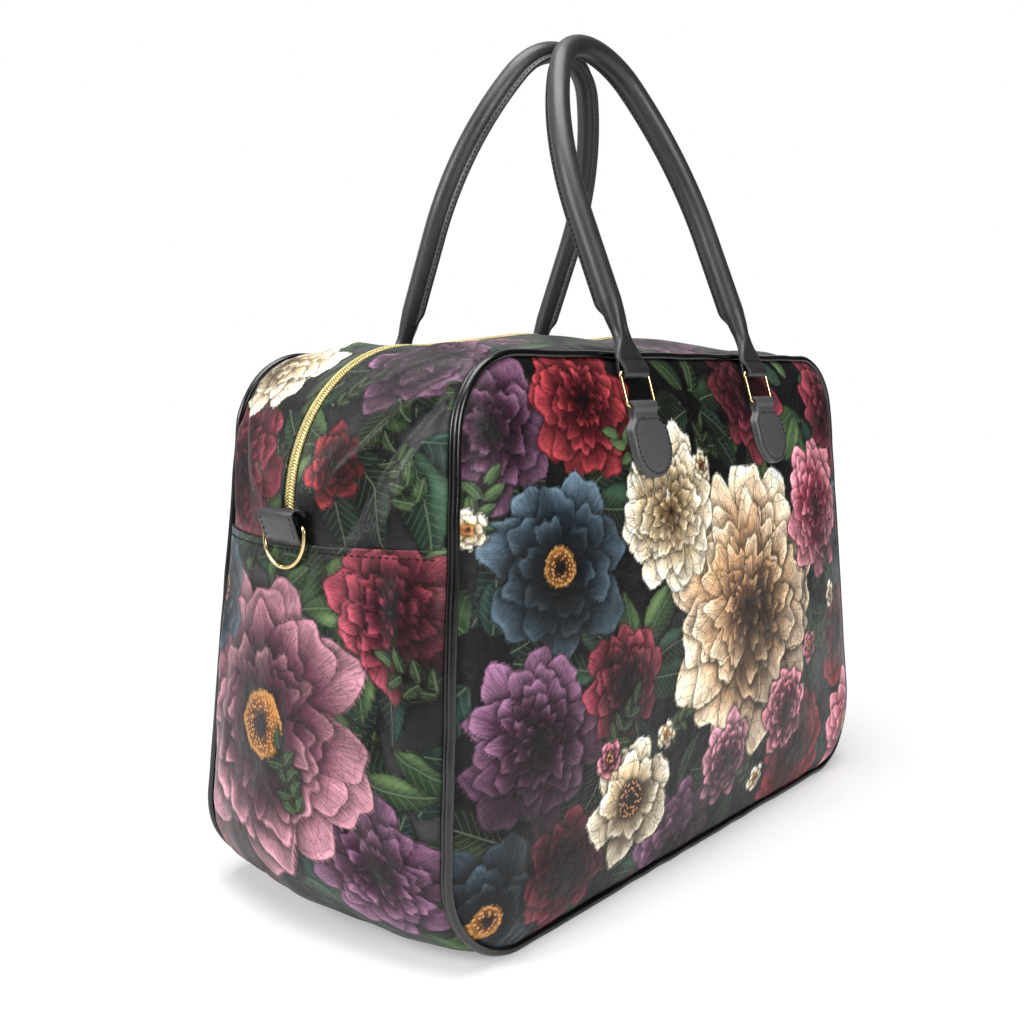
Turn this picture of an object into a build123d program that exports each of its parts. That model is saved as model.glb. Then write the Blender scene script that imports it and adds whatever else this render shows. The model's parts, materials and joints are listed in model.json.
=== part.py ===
"""A soft-sided travel bag with piped panels, a zipped gusset and two rolled handles.

Millimetres. The bag stands on Z = 0, X runs along its length, the front panel faces -Y.
A piece of the front is modelled in the leaning plane of the front panel, where u is X,
v runs up the panel and w stands out of it. The back is the front turned by half a turn.
"""
import math
import os

from build123d import *

# Bag
bag_height = 335.0
bottom_width = 498.0
top_width = 434.0
bottom_depth = 210.0
top_depth = 178.0
bottom_corner_radius = 54.0
top_corner_radius = 48.0
cloth = 1.6

# Soft shape: how far the stuffed bag swells past its piping, and how much more its ends do at the top
end_bulge = 21.0
end_fullness = 16.0
top_crown = 4.0
bottom_corner_softening = 14.0
top_corner_softening = 44.0
panel_crown = 24.0
panel_crown_reach = 110.0
crown_crowding = 1.5
inner_corner_share = 0.55
inner_corner_least = 4.0

# Piping: a corded tube, a second ridge behind it and the sewn seam inside
piping_radius = 2.6
ridge_radius = 2.0
ridge_behind = 4.3
ridge_drop = 1.0
seam_depth = 8.0
seam_front = 1.0
seam_back = ridge_behind + ridge_radius
sewing_gap = 0.1
tube_sweep_deg = 225.0
ridge_start_deg = 110.0
ridge_sweep_deg = 160.0

# Upper and lower gusset, and how far the zip's lower end and the end loop stand over the lap
lap_height = 229.0
lap = 12.0
loop_rise = 19.0

# Zip
zip_end_height = lap_height + loop_rise
zip_mouth = 12.6
coil_width = 3.0
coil_height = 2.5
coil_gap = 0.2
tape_width = 16.0
tape_thickness = 0.8
slider_length = 11.0
slider_wall = 1.5
slider_clearance = 0.3
slider_park = 2.0
bail_thickness = 1.6
bail_width = 2.2
bail_span = 7.0
bail_rise = 3.4
pull_length = 25.0
pull_width = 8.0
pull_shoulder = 17.5
pull_neck = 5.0
pull_thickness = 1.6
pull_tilt_deg = 22.0

# End loops and their D-rings
loop_width = 29.0
loop_cloth = 1.6
loop_play = 0.5
loop_hem = 2.4
d_ring_wire = 2.4
d_ring_inner_width = 31.0
d_ring_hang = 13.5
d_ring_drop = loop_rise / 2 + d_ring_hang
d_ring_corner = 3.0

# Handle rings and the chapes that hold them
ring_wire = 2.5
ring_inner_width = 27.0
ring_inner_height = 19.0
ring_corner = 3.2
ring_spacing = 151.0
ring_bar_below_edge = 32.0
ring_lean_deg = 14.0
bar_clearance = 0.3
chape_thickness = 2.4
chape_width = 39.0
chape_neck_width = 25.0
chape_neck_length = 7.0
chape_length = 43.0
chape_shoulder = 7.0

# Rolled handles
handle_rise = 238.0
handle_leg = 104.0
handle_top_radius = 50.0
handle_radius = 7.2
handle_seam_reach = 4.0
handle_seam_thickness = 2.6
seam_side_deg = -90.0
handle_gap = 1.2
strap_width = 25.0
strap_thickness = 4.8
strap_length = 9.0
pinch_height = 27.0
pinch_width = 11.5
pinch_depth = 10.0
roll_height = 46.0

# Counts of the flats and bands that stand for a round stretch
corner_count = 6
wire_count = 8
wire_corner_count = 3
cord_count = 12
bow_count = 5
arch_count = 5
foot_corner_count = 2
crown_band_count = 6
gusset_stations = (-0.84, -0.6, -0.3, 0.0, 0.3, 0.6, 0.84)
flatness = 1e-5


def upright(value):
    """The angle in degrees whose tangent is the value."""
    return math.degrees(math.atan(value))


half_depth = bottom_depth / 2
panel_lean = upright((bottom_depth - top_depth) / 2 / bag_height)


def station_plane(t):
    """An upright cross plane of the bag: t is -1 at the front piping and 1 at the back."""
    turn = math.radians(panel_lean * t)
    return Plane(
        origin=(0, t * half_depth, 0), x_dir=(1, 0, 0), z_dir=(0, -math.cos(turn), -math.sin(turn))
    )


front_plane = station_plane(-1)
back_plane = station_plane(1)


def rounded(corners, radii, flats):
    """Points round a closed convex outline, each corner turned in its number of equal flats."""
    points = []
    for k, (radius, steps) in enumerate(zip(radii, flats)):
        corner = Vector(*corners[k])
        back = (Vector(*corners[k - 1]) - corner).normalized()
        ahead = (Vector(*corners[(k + 1) % len(corners)]) - corner).normalized()
        half_angle = math.radians(back.get_angle(ahead)) / 2
        centre = corner + (back + ahead).normalized() * (radius / math.sin(half_angle))
        spoke = corner + back * (radius / math.tan(half_angle)) - centre
        turn = 180 - 2 * math.degrees(half_angle)
        points += [centre + spoke.rotate(Axis.Z, turn * step / steps) for step in range(steps + 1)]
    return points


def outline_points(grow, low, high, low_radius, high_radius, high_grow=0.0):
    """The bag's rounded outline in a cross plane, grown sideways by a distance and more at its top."""
    half_low = bottom_width / 2 + grow
    half_high = top_width / 2 + grow + high_grow
    corners = [(-half_low, low), (half_low, low), (half_high, high), (-half_high, high)]
    return rounded(corners, [low_radius, low_radius, high_radius, high_radius], [corner_count] * 4)


def placed(plane, points, height=0.0):
    """Points of a plane in the bag's own frame, moved out of that plane by a height."""
    return [plane.from_local_coords(point + Vector(0, 0, height)) for point in points]


def panel_sizes(inset):
    """The outline's sizes in a panel's plane, moved in from the line of the piping."""
    return (
        -inset,
        piping_radius + inset,
        bag_height - piping_radius - inset,
        max(bottom_corner_radius - inner_corner_share * inset, inner_corner_least),
        max(top_corner_radius - inner_corner_share * inset, inner_corner_least),
    )


def panel_ring(inset, height):
    """A panel's outline at a distance inside the piping and at a height over its plane."""
    return placed(front_plane, outline_points(*panel_sizes(inset)), height)


def mitred(plane, points, section, closed=True):
    """A solid swept along straight runs in a plane, mitred where they meet.

    The section is a closed list of (to the left of the path, out of the plane).
    """
    count = len(points)
    rings = []
    for k, point in enumerate(points):
        before = point - points[k - 1] if closed or k > 0 else points[1] - point
        after = points[(k + 1) % count] - point if closed or k < count - 1 else before
        left_before = before.normalized().rotate(Axis.Z, 90)
        left_after = after.normalized().rotate(Axis.Z, 90)
        mitre = (left_before + left_after) * (1 / (1 + left_before.dot(left_after)))
        ring = [point + mitre * left + Vector(0, 0, out) for left, out in section]
        rings.append(placed(plane, ring))
    return banded(rings, closed)


def banded(rings, closed=False):
    """A solid whose skin runs in flat bands from ring to ring of as many points."""
    faces = [] if closed else [flat(*rings[0]), flat(*rings[-1])]
    for near, far in zip(rings, rings[1:] + rings[: int(closed)]):
        for j in range(len(near)):
            faces += quad(near[j - 1], near[j], far[j], far[j - 1])
    return Solid(Shell(faces)).fix()


def quad(a, b, c, d):
    """One face through four corners, or two where they aren't in one plane."""
    out_of_plane = (b - a).cross(c - a).normalized().dot(d - a)
    if abs(out_of_plane) < flatness:
        return [flat(a, b, c, d)]
    return [flat(a, b, c), flat(a, c, d)]


def flat(*corners):
    """A plane face through its corners."""
    return Face(Wire.make_polygon(corners, close=True))


def circle_points(radius, flats, start=0.0, sweep_angle=360.0):
    """Corners of a many-sided rod, or of a part of its edge from a start angle."""
    full = sweep_angle == 360
    stops = [k + 0.5 for k in range(flats)] if full else range(flats + 1)
    angles = [math.radians(start + sweep_angle * stop / flats) for stop in stops]
    return [(radius * math.cos(angle), radius * math.sin(angle)) for angle in angles]


def rod(plane, radius, flats, half_length, bore=False):
    """A many-sided rod along a plane's normal; a bore's flats clear the radius instead."""
    corner_radius = radius / math.cos(math.pi / flats) if bore else radius
    face = make_face(Polyline(*circle_points(corner_radius, flats), close=True))
    return extrude(plane * face, amount=half_length, both=True)


def crown(inset):
    """How far a stuffed panel stands out at a distance inside its edge."""
    part = min(inset / panel_crown_reach, 1)
    return panel_crown * (1 - (1 - part) ** 2)


rim = piping_radius + sewing_gap
crown_steps = [(k / crown_band_count) ** crown_crowding for k in range(crown_band_count + 1)]
crown_insets = [rim + (panel_crown_reach - rim) * step for step in crown_steps]
crown_profile = [(inset, piping_radius + crown(inset - rim)) for inset in crown_insets]


def make_panel():
    """One crowned panel, seated on the seam and ending against the piping."""
    skin = [panel_ring(rim, seam_front)]
    skin += [panel_ring(inset, w) for inset, w in crown_profile]
    hollow = [panel_ring(seam_depth, seam_front - cloth)]
    hollow += [panel_ring(inset + cloth, w - cloth) for inset, w in crown_profile[2:]]
    return banded(skin) - banded(hollow)


def make_piping():
    """Corded tube, second ridge and sewn seam in one section, mitred round the panel's outline."""
    meeting = math.degrees(math.asin(seam_front / piping_radius))
    tube = circle_points(piping_radius, wire_count, meeting, tube_sweep_deg)
    back = circle_points(ridge_radius, bow_count, ridge_start_deg, ridge_sweep_deg)
    ridge = [(side + ridge_drop, out - ridge_behind) for side, out in back]
    seam = [(seam_depth, -seam_back), (seam_depth, seam_front)]
    return mitred(front_plane, outline_points(*panel_sizes(0)), tube + ridge + seam)


def swell(t):
    """The share of the full bulge at a cross plane."""
    return 1 - t * t


def gusset_loft(grow):
    """The solid inside the gusset's surface, moved outwards by a distance."""
    seam_inset = rim + cloth
    seam = outline_points(
        grow - seam_inset,
        piping_radius + seam_inset - grow,
        bag_height - piping_radius - seam_inset + grow,
        bottom_corner_radius,
        top_corner_radius,
    )
    rings = [placed(front_plane, seam, -seam_back)]
    for t in gusset_stations:
        station = outline_points(
            end_bulge * swell(t) + grow,
            cloth - grow,
            bag_height - cloth + top_crown * swell(t) + grow,
            bottom_corner_radius + bottom_corner_softening * swell(t) + grow,
            top_corner_radius + top_corner_softening * swell(t) + grow,
            end_fullness * swell(t),
        )
        rings.append(placed(station_plane(t), station))
    rings.append(placed(back_plane, seam, seam_back))
    return banded(rings)


def slab(y_low, y_high, z_low, z_high):
    """A block across the whole bag between two depths and two heights."""
    block = Box(2 * bottom_width, y_high - y_low, z_high - z_low, align=(Align.CENTER, Align.MIN, Align.MIN))
    return Pos(0, y_low, z_low) * block


sky = 2 * bag_height
skin_surface = gusset_loft(0)
tape_surface = gusset_loft(-cloth)


def make_lower_gusset():
    """End, bottom and end in one band, lapped over the upper gusset."""
    return (gusset_loft(cloth) - skin_surface) & slab(-bottom_depth, bottom_depth, 0, lap_height)


def make_upper_gusset():
    """The front strip over the top and down both ends, up to the zip's mouth."""
    return (skin_surface - tape_surface) & slab(-bottom_depth, -zip_mouth / 2, lap_height - lap, sky)


def make_zip_tape():
    """The front tape, sewn under the strip of gusset."""
    band = tape_surface - gusset_loft(-cloth - tape_thickness)
    return band & slab(-coil_gap - tape_width, -coil_gap, zip_end_height - lap, sky)


def make_zip_coil():
    """The front row of the coil, closed against the back one."""
    band = gusset_loft(coil_height - cloth) - tape_surface
    return band & slab(-coil_gap / 2 - coil_width, -coil_gap / 2, zip_end_height + coil_gap, sky)


# Right end: the gusset's middle line is straight up to the corner's arc
end_low = cloth
end_high = bag_height - cloth + top_crown
end_lean = upright(((bottom_width - top_width) / 2 - end_fullness) / (end_high - end_low))
end_corner_radius = top_corner_radius + top_corner_softening


def end_x(height):
    """X of the gusset's surface in the middle of the right end, below the corner's arc."""
    return bottom_width / 2 + end_bulge - (height - end_low) * math.tan(math.radians(end_lean))


def end_plane(height):
    """A plane on the right end: u is Y, v runs up the end and w stands out of it."""
    turn = math.radians(end_lean)
    return Plane(origin=(end_x(height), 0, height), x_dir=(0, 1, 0), z_dir=(math.cos(turn), 0, math.sin(turn)))


corner_z = end_high - end_corner_radius
corner_x = end_x(corner_z) - end_corner_radius / math.cos(math.radians(end_lean))


def side_profile(plane, face, reach):
    """Extrudes a (v, w) profile drawn on a local frame, evenly to both sides along u."""
    across = Plane(origin=plane.origin, x_dir=plane.y_dir, z_dir=plane.x_dir)
    return extrude(across * face, amount=reach, both=True)


slider_height = zip_end_height + slider_park + slider_length / 2
slider_plane = end_plane(slider_height)
coil_top = coil_height - cloth
cavity_half = coil_width + coil_gap / 2 + slider_clearance
cavity_top = coil_top + slider_clearance
slider_top = cavity_top + slider_wall
eye_radius = pull_thickness / 2
eye_level = slider_top + slider_clearance + eye_radius


def make_zip_slider():
    """The slider's shell over the coil, with a bail for its pull."""
    half = cavity_half + slider_wall
    tail = half - slider_wall / 2
    nose = slider_length / 2
    right = [(half, nose), (half, 0), (tail, -nose)]
    plan = make_face(Polyline(*right, *[(-x, y) for x, y in reversed(right)], close=True))
    plan = fillet(plan.vertices(), slider_wall / 2)
    foot = slider_clearance - cloth
    shell = extrude(Pos(0, 0, foot) * plan, slider_top - foot)
    channel = Box(2 * cavity_half, 2 * slider_length, 2 * cavity_top)
    skirt = Box(2 * cavity_half, 2 * slider_length, -2 * foot)
    shell = slider_plane * (shell - channel - skirt)
    arch = Pos(0, slider_top) * Rectangle(bail_span, 2 * bail_rise)
    arch = fillet(arch.vertices(), bail_rise / 2)
    gap = Pos(0, slider_top) * Rectangle(bail_span - 2 * bail_thickness, 2 * (bail_rise - bail_thickness / 2))
    bail = side_profile(slider_plane, arch - gap, bail_width / 2)
    above = Pos(0, 0, slider_top - slider_wall / 2) * Box(
        slider_length, 2 * slider_length, 2 * bail_rise, align=(Align.CENTER, Align.CENTER, Align.MIN)
    )
    return shell + (bail & (slider_plane * above))



def pull_plane():
    """The pull's own plane through its eye, tilted out so that it rests on the end loop."""
    eye = slider_plane.from_local_coords(Vector(0, 0, eye_level))
    turn = math.radians(end_lean + pull_tilt_deg)
    return Plane(origin=eye, x_dir=(0, 1, 0), z_dir=(math.cos(turn), 0, math.sin(turn)))


def make_zip_pull():
    """A flat tag with a bar at its top, hanging in the slider's bail."""
    opening = bail_span / 2 + slider_clearance
    plan = Polyline(
        (-pull_neck / 2 - eye_radius, eye_radius),
        (pull_neck / 2 + eye_radius, eye_radius),
        (pull_width / 2, -pull_shoulder),
        (pull_width / 2, -pull_length),
        (-pull_width / 2, -pull_length),
        (-pull_width / 2, -pull_shoulder),
        close=True,
    )
    plan = make_face(plan)
    plan = fillet(plan.vertices(), eye_radius / 2)
    window = Pos(0, -(eye_radius + opening) / 2) * Rectangle(
        bail_width + 4 * slider_clearance, opening - eye_radius
    )
    tag = extrude(plan - window, pull_thickness / 2, both=True)
    return pull_plane() * tag


# End loops and D-rings
loop_height = (lap_height + zip_end_height) / 2
loop_plane = end_plane(loop_height)
loop_reach = (zip_end_height - lap_height) / 2 / math.cos(math.radians(end_lean))
d_bar_level = d_ring_wire / 2 + cloth + loop_play
loop_bulge = d_bar_level + d_ring_wire / 2 + loop_play + loop_cloth


def make_end_loop():
    """A folded strap over the zip's end, sewn above and below the tunnel for the D-ring."""
    half = loop_reach - loop_hem
    outer = make_face(
        Wire([ThreePointArc((half, 0), (0, loop_bulge), (-half, 0)), Line((-half, 0), (half, 0))])
    )
    inner_half = half - loop_cloth
    inner = make_face(
        Wire(
            [
                ThreePointArc((inner_half, 0), (0, loop_bulge - loop_cloth), (-inner_half, 0)),
                Line((-inner_half, 0), (-inner_half, -loop_cloth)),
                Line((-inner_half, -loop_cloth), (inner_half, -loop_cloth)),
                Line((inner_half, -loop_cloth), (inner_half, 0)),
            ]
        )
    )
    hems = Rectangle(2 * loop_reach, 2 * loop_cloth)
    strap = side_profile(loop_plane, outer + hems - inner, loop_width / 2)
    return strap - skin_surface - (gusset_loft(cloth) & slab(-bottom_depth, bottom_depth, 0, lap_height))


def make_d_ring():
    """A bent wire D: its straight bar in the loop's tunnel, its bow hanging below."""
    half = (d_ring_inner_width + d_ring_wire) / 2
    corners = [(-half, -d_ring_drop), (half, -d_ring_drop), (half, 0), (-half, 0)]
    radii = [half, half, d_ring_corner, d_ring_corner]
    counts = [bow_count, bow_count, foot_corner_count, foot_corner_count]
    path = distinct(rounded(corners, radii, counts))
    return mitred(loop_plane.offset(d_bar_level), path, circle_points(d_ring_wire / 2, wire_count))


def distinct(points):
    """The points without those that fall on the one before."""
    return [point for k, point in enumerate(points) if (point - points[k - 1]).length > sewing_gap]


# Handle rings
edge_v = bag_height - piping_radius


def surface_level(inset):
    """How far the banded front panel stands out at a distance inside the piping's line."""
    for (inset_a, w_a), (inset_b, w_b) in zip(crown_profile, crown_profile[1:]):
        if inset <= inset_b:
            return w_a + (w_b - w_a) * (inset - inset_a) / (inset_b - inset_a)
    return crown_profile[-1][1]


chape_loop_radius = ring_wire / 2 + bar_clearance + chape_thickness
surface_rise = surface_level(ring_bar_below_edge + 1) - surface_level(ring_bar_below_edge)
loop_stand = chape_loop_radius * math.hypot(1, surface_rise) + sewing_gap
lower_bar = Vector(0, edge_v - ring_bar_below_edge, surface_level(ring_bar_below_edge) + loop_stand)
ring_span = ring_inner_height + ring_wire
ring_turn = math.radians(ring_lean_deg)
upper_bar = lower_bar + Vector(0, ring_span * math.cos(ring_turn), -ring_span * math.sin(ring_turn))
ring_plane = Plane(
    origin=front_plane.from_local_coords(lower_bar),
    x_dir=(1, 0, 0),
    z_dir=front_plane.y_dir * math.sin(ring_turn) + front_plane.z_dir * math.cos(ring_turn),
)


def make_handle_ring(side):
    """A rectangular wire ring, standing on the bar that its chape holds."""
    half = (ring_inner_width + ring_wire) / 2
    corners = [(-half, 0), (half, 0), (half, ring_span), (-half, ring_span)]
    points = rounded(corners, [ring_corner] * 4, [wire_corner_count] * 4)
    ring = mitred(ring_plane, points, circle_points(ring_wire / 2, wire_count))
    return Pos(side * ring_spacing / 2, 0, 0) * ring


def make_chape(side):
    """A folded tongue on the panel whose neck goes round the ring's lower bar."""
    bar_v, bar_w = lower_bar.Y, lower_bar.Z
    top_inset = edge_v - bar_v
    low_inset = top_inset + chape_length
    between = [inset for inset, w in crown_profile if top_inset < inset < low_inset]
    insets = [top_inset, *between, low_inset]
    under = [(edge_v - inset, surface_level(inset)) for inset in insets]
    over = [(v, w + 2 * chape_thickness) for v, w in reversed(under)]
    plies = make_face(Polyline(*under, *over, close=True))
    across = Plane(origin=front_plane.origin, x_dir=front_plane.y_dir, z_dir=front_plane.x_dir)
    body = extrude(across * plies, amount=chape_width, both=True)
    half = chape_width / 2
    neck = chape_neck_width / 2
    start = bar_v - chape_neck_length
    turn = bar_v - chape_length + half
    bottom = [(x, turn + y) for x, y in circle_points(half, wire_count, sweep_angle=-180)]
    tongue = Polyline(
        (-neck, bar_v),
        (neck, bar_v),
        (neck, start),
        (half, start - chape_shoulder),
        *bottom,
        (-half, start - chape_shoulder),
        (-neck, start),
        close=True,
    )
    body = body & extrude(front_plane * make_face(tongue), amount=2 * panel_crown)
    bar_plane = Plane(origin=ring_plane.origin, x_dir=front_plane.y_dir, z_dir=(1, 0, 0))
    body += rod(bar_plane, chape_loop_radius, cord_count, neck)
    body -= rod(bar_plane, ring_wire / 2 + bar_clearance, wire_count, chape_width, bore=True)
    return Pos(side * ring_spacing / 2, 0, 0) * body


# Handles
foot_point = front_plane.from_local_coords(upper_bar)
crest_depth = handle_gap / 2 + handle_radius + handle_seam_reach
handle_lean = math.asin((-foot_point.Y - crest_depth) / handle_rise)
handle_plane = Plane(
    origin=foot_point, x_dir=(1, 0, 0), z_dir=(0, -math.cos(handle_lean), math.sin(handle_lean))
)


def handle_path():
    """Upright legs, long side arcs and a tighter arc over the top, all tangent."""
    half = ring_spacing / 2
    drop = handle_rise - handle_leg - handle_top_radius
    side_radius = (half**2 + drop**2 - handle_top_radius**2) / (2 * (half - handle_top_radius))
    away = Vector(side_radius - half, drop).normalized()
    join = Vector(0, handle_rise - handle_top_radius) + away * handle_top_radius
    mirrored = Vector(-join.X, join.Y)
    arcs = [
        TangentArc((half, handle_leg), join, tangent=(0, 1)),
        ThreePointArc(join, (0, handle_rise), mirrored),
    ]
    side = [Vector(half, roll_height)]
    side += [arcs[0] @ (step / arch_count) for step in range(arch_count)]
    top = [arcs[1] @ (step / (2 * arch_count)) for step in range(2 * arch_count + 1)]
    return side + top + [Vector(-point.X, point.Y) for point in reversed(side)]


def make_handle():
    """One rolled handle with its sewn seam and its two strap ends round the rings' upper bars."""
    half_seam = handle_seam_thickness / 2
    reach = handle_radius + handle_seam_reach
    opening = math.degrees(math.asin(half_seam / handle_radius))
    roll = circle_points(handle_radius, cord_count, seam_side_deg + opening, 360 - 2 * opening)
    section = roll + [(-half_seam, -reach), (half_seam, -reach)]
    body = mitred(handle_plane, handle_path(), section, closed=False)
    for side in (-1, 1):
        body += handle_plane * (Pos(side * ring_spacing / 2, 0, 0) * make_handle_foot())
    return body


# A handle's end, from its strap up to the roll: height, width, depth and the rounding's share of them
flare = (pinch_height - strap_length) / 3
roll_size = 2 * handle_radius
foot_sections = (
    (strap_length, strap_width, strap_thickness, 0.3),
    (strap_length + flare, 0.8 * strap_width, 1.25 * strap_thickness, 0.4),
    (strap_length + 2 * flare, 0.56 * strap_width, 1.6 * strap_thickness, 0.45),
    (pinch_height, pinch_width, pinch_depth, 0.45),
    ((pinch_height + roll_height) / 2, 0.92 * roll_size, 0.9 * roll_size, 0.45),
    (roll_height, roll_size, roll_size, 0.45),
)


def make_handle_foot():
    """The end of a handle, upright on the bar's axis: a loop, a flat strap, a pinch and the roll."""
    upward = Plane(origin=(0, 0, 0), x_dir=(1, 0, 0), z_dir=(0, 1, 0))
    rings = []
    for height, width, depth, roundness in foot_sections:
        x, y = width / 2, depth / 2
        radius = roundness * min(width, depth)
        points = rounded([(-x, -y), (x, -y), (x, y), (-x, y)], [radius] * 4, [foot_corner_count] * 4)
        rings.append(placed(upward, points, height))
    foot = banded(rings)
    foot += Pos(0, strap_length / 2, 0) * Box(strap_width, strap_length, strap_thickness)
    loop = rod(Plane.YZ, ring_wire / 2 + bar_clearance + strap_thickness / 2, cord_count, strap_width / 2)
    bore = rod(Plane.YZ, ring_wire / 2 + bar_clearance, wire_count, strap_width, bore=True)
    return foot + loop - bore


def behind(shape):
    """The same piece on the other side of the bag, turned by half a turn."""
    return Rot(0, 0, 180) * shape


def build():
    """Every sub-part of the bag by its node's name."""
    panel = make_panel()
    piping = make_piping()
    upper = make_upper_gusset()
    tape = make_zip_tape()
    coil = make_zip_coil()
    loop = make_end_loop()
    d_ring = make_d_ring()
    handle = make_handle()
    nodes = {
        "front_panel": panel,
        "back_panel": behind(panel),
        "front_piping": piping,
        "back_piping": behind(piping),
        "lower_gusset": make_lower_gusset(),
        "front_upper_gusset": upper,
        "back_upper_gusset": behind(upper),
        "front_zip_tape": tape,
        "back_zip_tape": behind(tape),
        "front_zip_coil": coil,
        "back_zip_coil": behind(coil),
        "zip_slider": make_zip_slider(),
        "zip_pull": make_zip_pull(),
        "right_end_loop": loop,
        "left_end_loop": behind(loop),
        "right_d_ring": d_ring,
        "left_d_ring": behind(d_ring),
        "front_handle": handle,
        "back_handle": behind(handle),
    }
    for side, name in ((-1, "left"), (1, "right")):
        ring = make_handle_ring(side)
        chape = make_chape(side)
        opposite = "right" if name == "left" else "left"
        nodes[f"front_{name}_ring"] = ring
        nodes[f"front_{name}_chape"] = chape
        nodes[f"back_{opposite}_ring"] = behind(ring)
        nodes[f"back_{opposite}_chape"] = behind(chape)
    return nodes


def main():
    os.makedirs("parts", exist_ok=True)
    for name, shape in build().items():
        export_step(shape, f"parts/{name}.step")


if __name__ == "__main__":
    main()
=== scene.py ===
"""A soft-sided travel bag, dressed in printed cloth, leatherette, metal and stitching.

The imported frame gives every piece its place. Shapes are worked out in millimetres in the
bag's own frame: it stands on Z = 0, X runs along its length and its front faces -Y. The
back is the front turned by half a turn.
"""
import json
import math

import bmesh
import bpy
import numpy as np
from mathutils import Matrix, Vector


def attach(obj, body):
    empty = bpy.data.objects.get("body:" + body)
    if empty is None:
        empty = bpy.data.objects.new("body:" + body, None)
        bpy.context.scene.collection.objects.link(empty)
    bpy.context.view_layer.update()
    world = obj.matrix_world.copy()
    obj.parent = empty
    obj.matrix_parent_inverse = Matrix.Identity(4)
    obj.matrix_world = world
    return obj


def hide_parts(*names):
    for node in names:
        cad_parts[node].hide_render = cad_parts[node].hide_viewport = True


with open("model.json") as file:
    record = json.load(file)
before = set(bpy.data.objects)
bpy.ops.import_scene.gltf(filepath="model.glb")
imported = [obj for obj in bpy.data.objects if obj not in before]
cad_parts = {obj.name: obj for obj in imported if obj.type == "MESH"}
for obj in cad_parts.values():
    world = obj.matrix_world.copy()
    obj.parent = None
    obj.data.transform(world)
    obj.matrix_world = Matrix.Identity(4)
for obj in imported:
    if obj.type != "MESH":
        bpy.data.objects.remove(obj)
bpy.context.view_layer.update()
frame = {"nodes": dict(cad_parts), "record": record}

bl_info = {
    "name": "Travel Bag",
    "version": (1, 0, 0),
    "blender": (4, 5, 0),
    "location": "3D View > Sidebar > Travel Bag",
    "description": "Dresses the frame of a soft travel bag in cloth, leatherette and metal",
    "category": "Add Mesh",
}

MM = 0.001

# The bag's shape in millimetres, as the part's own source has it
BAG_HEIGHT = 335.0
BOTTOM_WIDTH = 498.0
TOP_WIDTH = 434.0
BOTTOM_DEPTH = 210.0
TOP_DEPTH = 178.0
BOTTOM_RADIUS = 54.0
TOP_RADIUS = 48.0
CLOTH = 1.6
END_BULGE = 21.0
END_FULLNESS = 16.0
TOP_CROWN = 4.0
BOTTOM_SOFTENING = 14.0
TOP_SOFTENING = 44.0
PANEL_CROWN = 24.0
CROWN_REACH = 110.0
PIPING = 2.6
LAP_HEIGHT = 229.0
ZIP_END_HEIGHT = 248.0
HALF_DEPTH = BOTTOM_DEPTH / 2
PANEL_LEAN = math.atan((BOTTOM_DEPTH - TOP_DEPTH) / 2 / BAG_HEIGHT)


# Numbers and fields


def smooth(low, high, value):
    """0 below low, 1 above high and a smooth rise between."""
    part = np.clip((value - low) / (high - low), 0, 1)
    return part * part * (3 - 2 * part)


def unit(vectors):
    """Rows of vectors, each made one long."""
    return vectors / np.linalg.norm(vectors, axis=1)[:, None]


def sampled(grid, x, y):
    """Smooth cubic reading of a grid of numbers at fractional places, edges held."""
    rows, columns = grid.shape[:2]
    x = np.clip(x, 0, columns - 1.000001)
    y = np.clip(y, 0, rows - 1.000001)
    ix, iy = x.astype(int), y.astype(int)
    fx, fy = x - ix, y - iy

    def weights(f):
        return (
            ((-0.5 * f + 1) * f - 0.5) * f,
            (1.5 * f - 2.5) * f * f + 1,
            ((-1.5 * f + 2) * f + 0.5) * f,
            (0.5 * f - 0.5) * f * f,
        )

    result = 0
    for j, wy in enumerate(weights(fy)):
        row = np.clip(iy + j - 1, 0, rows - 1)
        for i, wx in enumerate(weights(fx)):
            column = np.clip(ix + i - 1, 0, columns - 1)
            result = result + wx * wy * grid[row, column]
    return result


def noise(seed, x, y, size_x, size_y=None):
    """Smooth seeded noise, about -1 to 1, whose lumps have a size in millimetres."""
    size_y = size_y or size_x
    grid = np.random.default_rng(seed).uniform(-1, 1, (64, 64))
    grid[61:] = grid[:3]
    grid[:, 61:] = grid[:, :3]
    low_x, low_y = np.min(x), np.min(y)
    return sampled(grid, (x - low_x) / size_x % 61 + 1, (y - low_y) / size_y % 61 + 1)


def ridge(x, y, start, end, width, height):
    """A soft fold that runs from one point to another and dies out at both."""
    along = np.subtract(end, start)
    length = math.hypot(*along)
    along = along / length
    s = (x - start[0]) * along[0] + (y - start[1]) * along[1]
    across = (x - start[0]) * along[1] - (y - start[1]) * along[0]
    fade = smooth(-0.15 * length, 0.25 * length, s) * (1 - smooth(0.7 * length, 1.1 * length, s))
    return height * fade * np.exp(-((across / width) ** 2))


# The bag's surfaces


def loop_sizes(t, out):
    """The sizes of the gusset's outline at a share t of the half depth, moved out."""
    swell = 1 - t * t
    grow = END_BULGE * swell + out
    return (
        BOTTOM_WIDTH / 2 + grow,
        TOP_WIDTH / 2 + grow + END_FULLNESS * swell,
        CLOTH - out,
        BAG_HEIGHT - CLOTH + TOP_CROWN * swell + out,
        BOTTOM_RADIUS + BOTTOM_SOFTENING * swell + out,
        TOP_RADIUS + TOP_SOFTENING * swell + out,
    )


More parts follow.
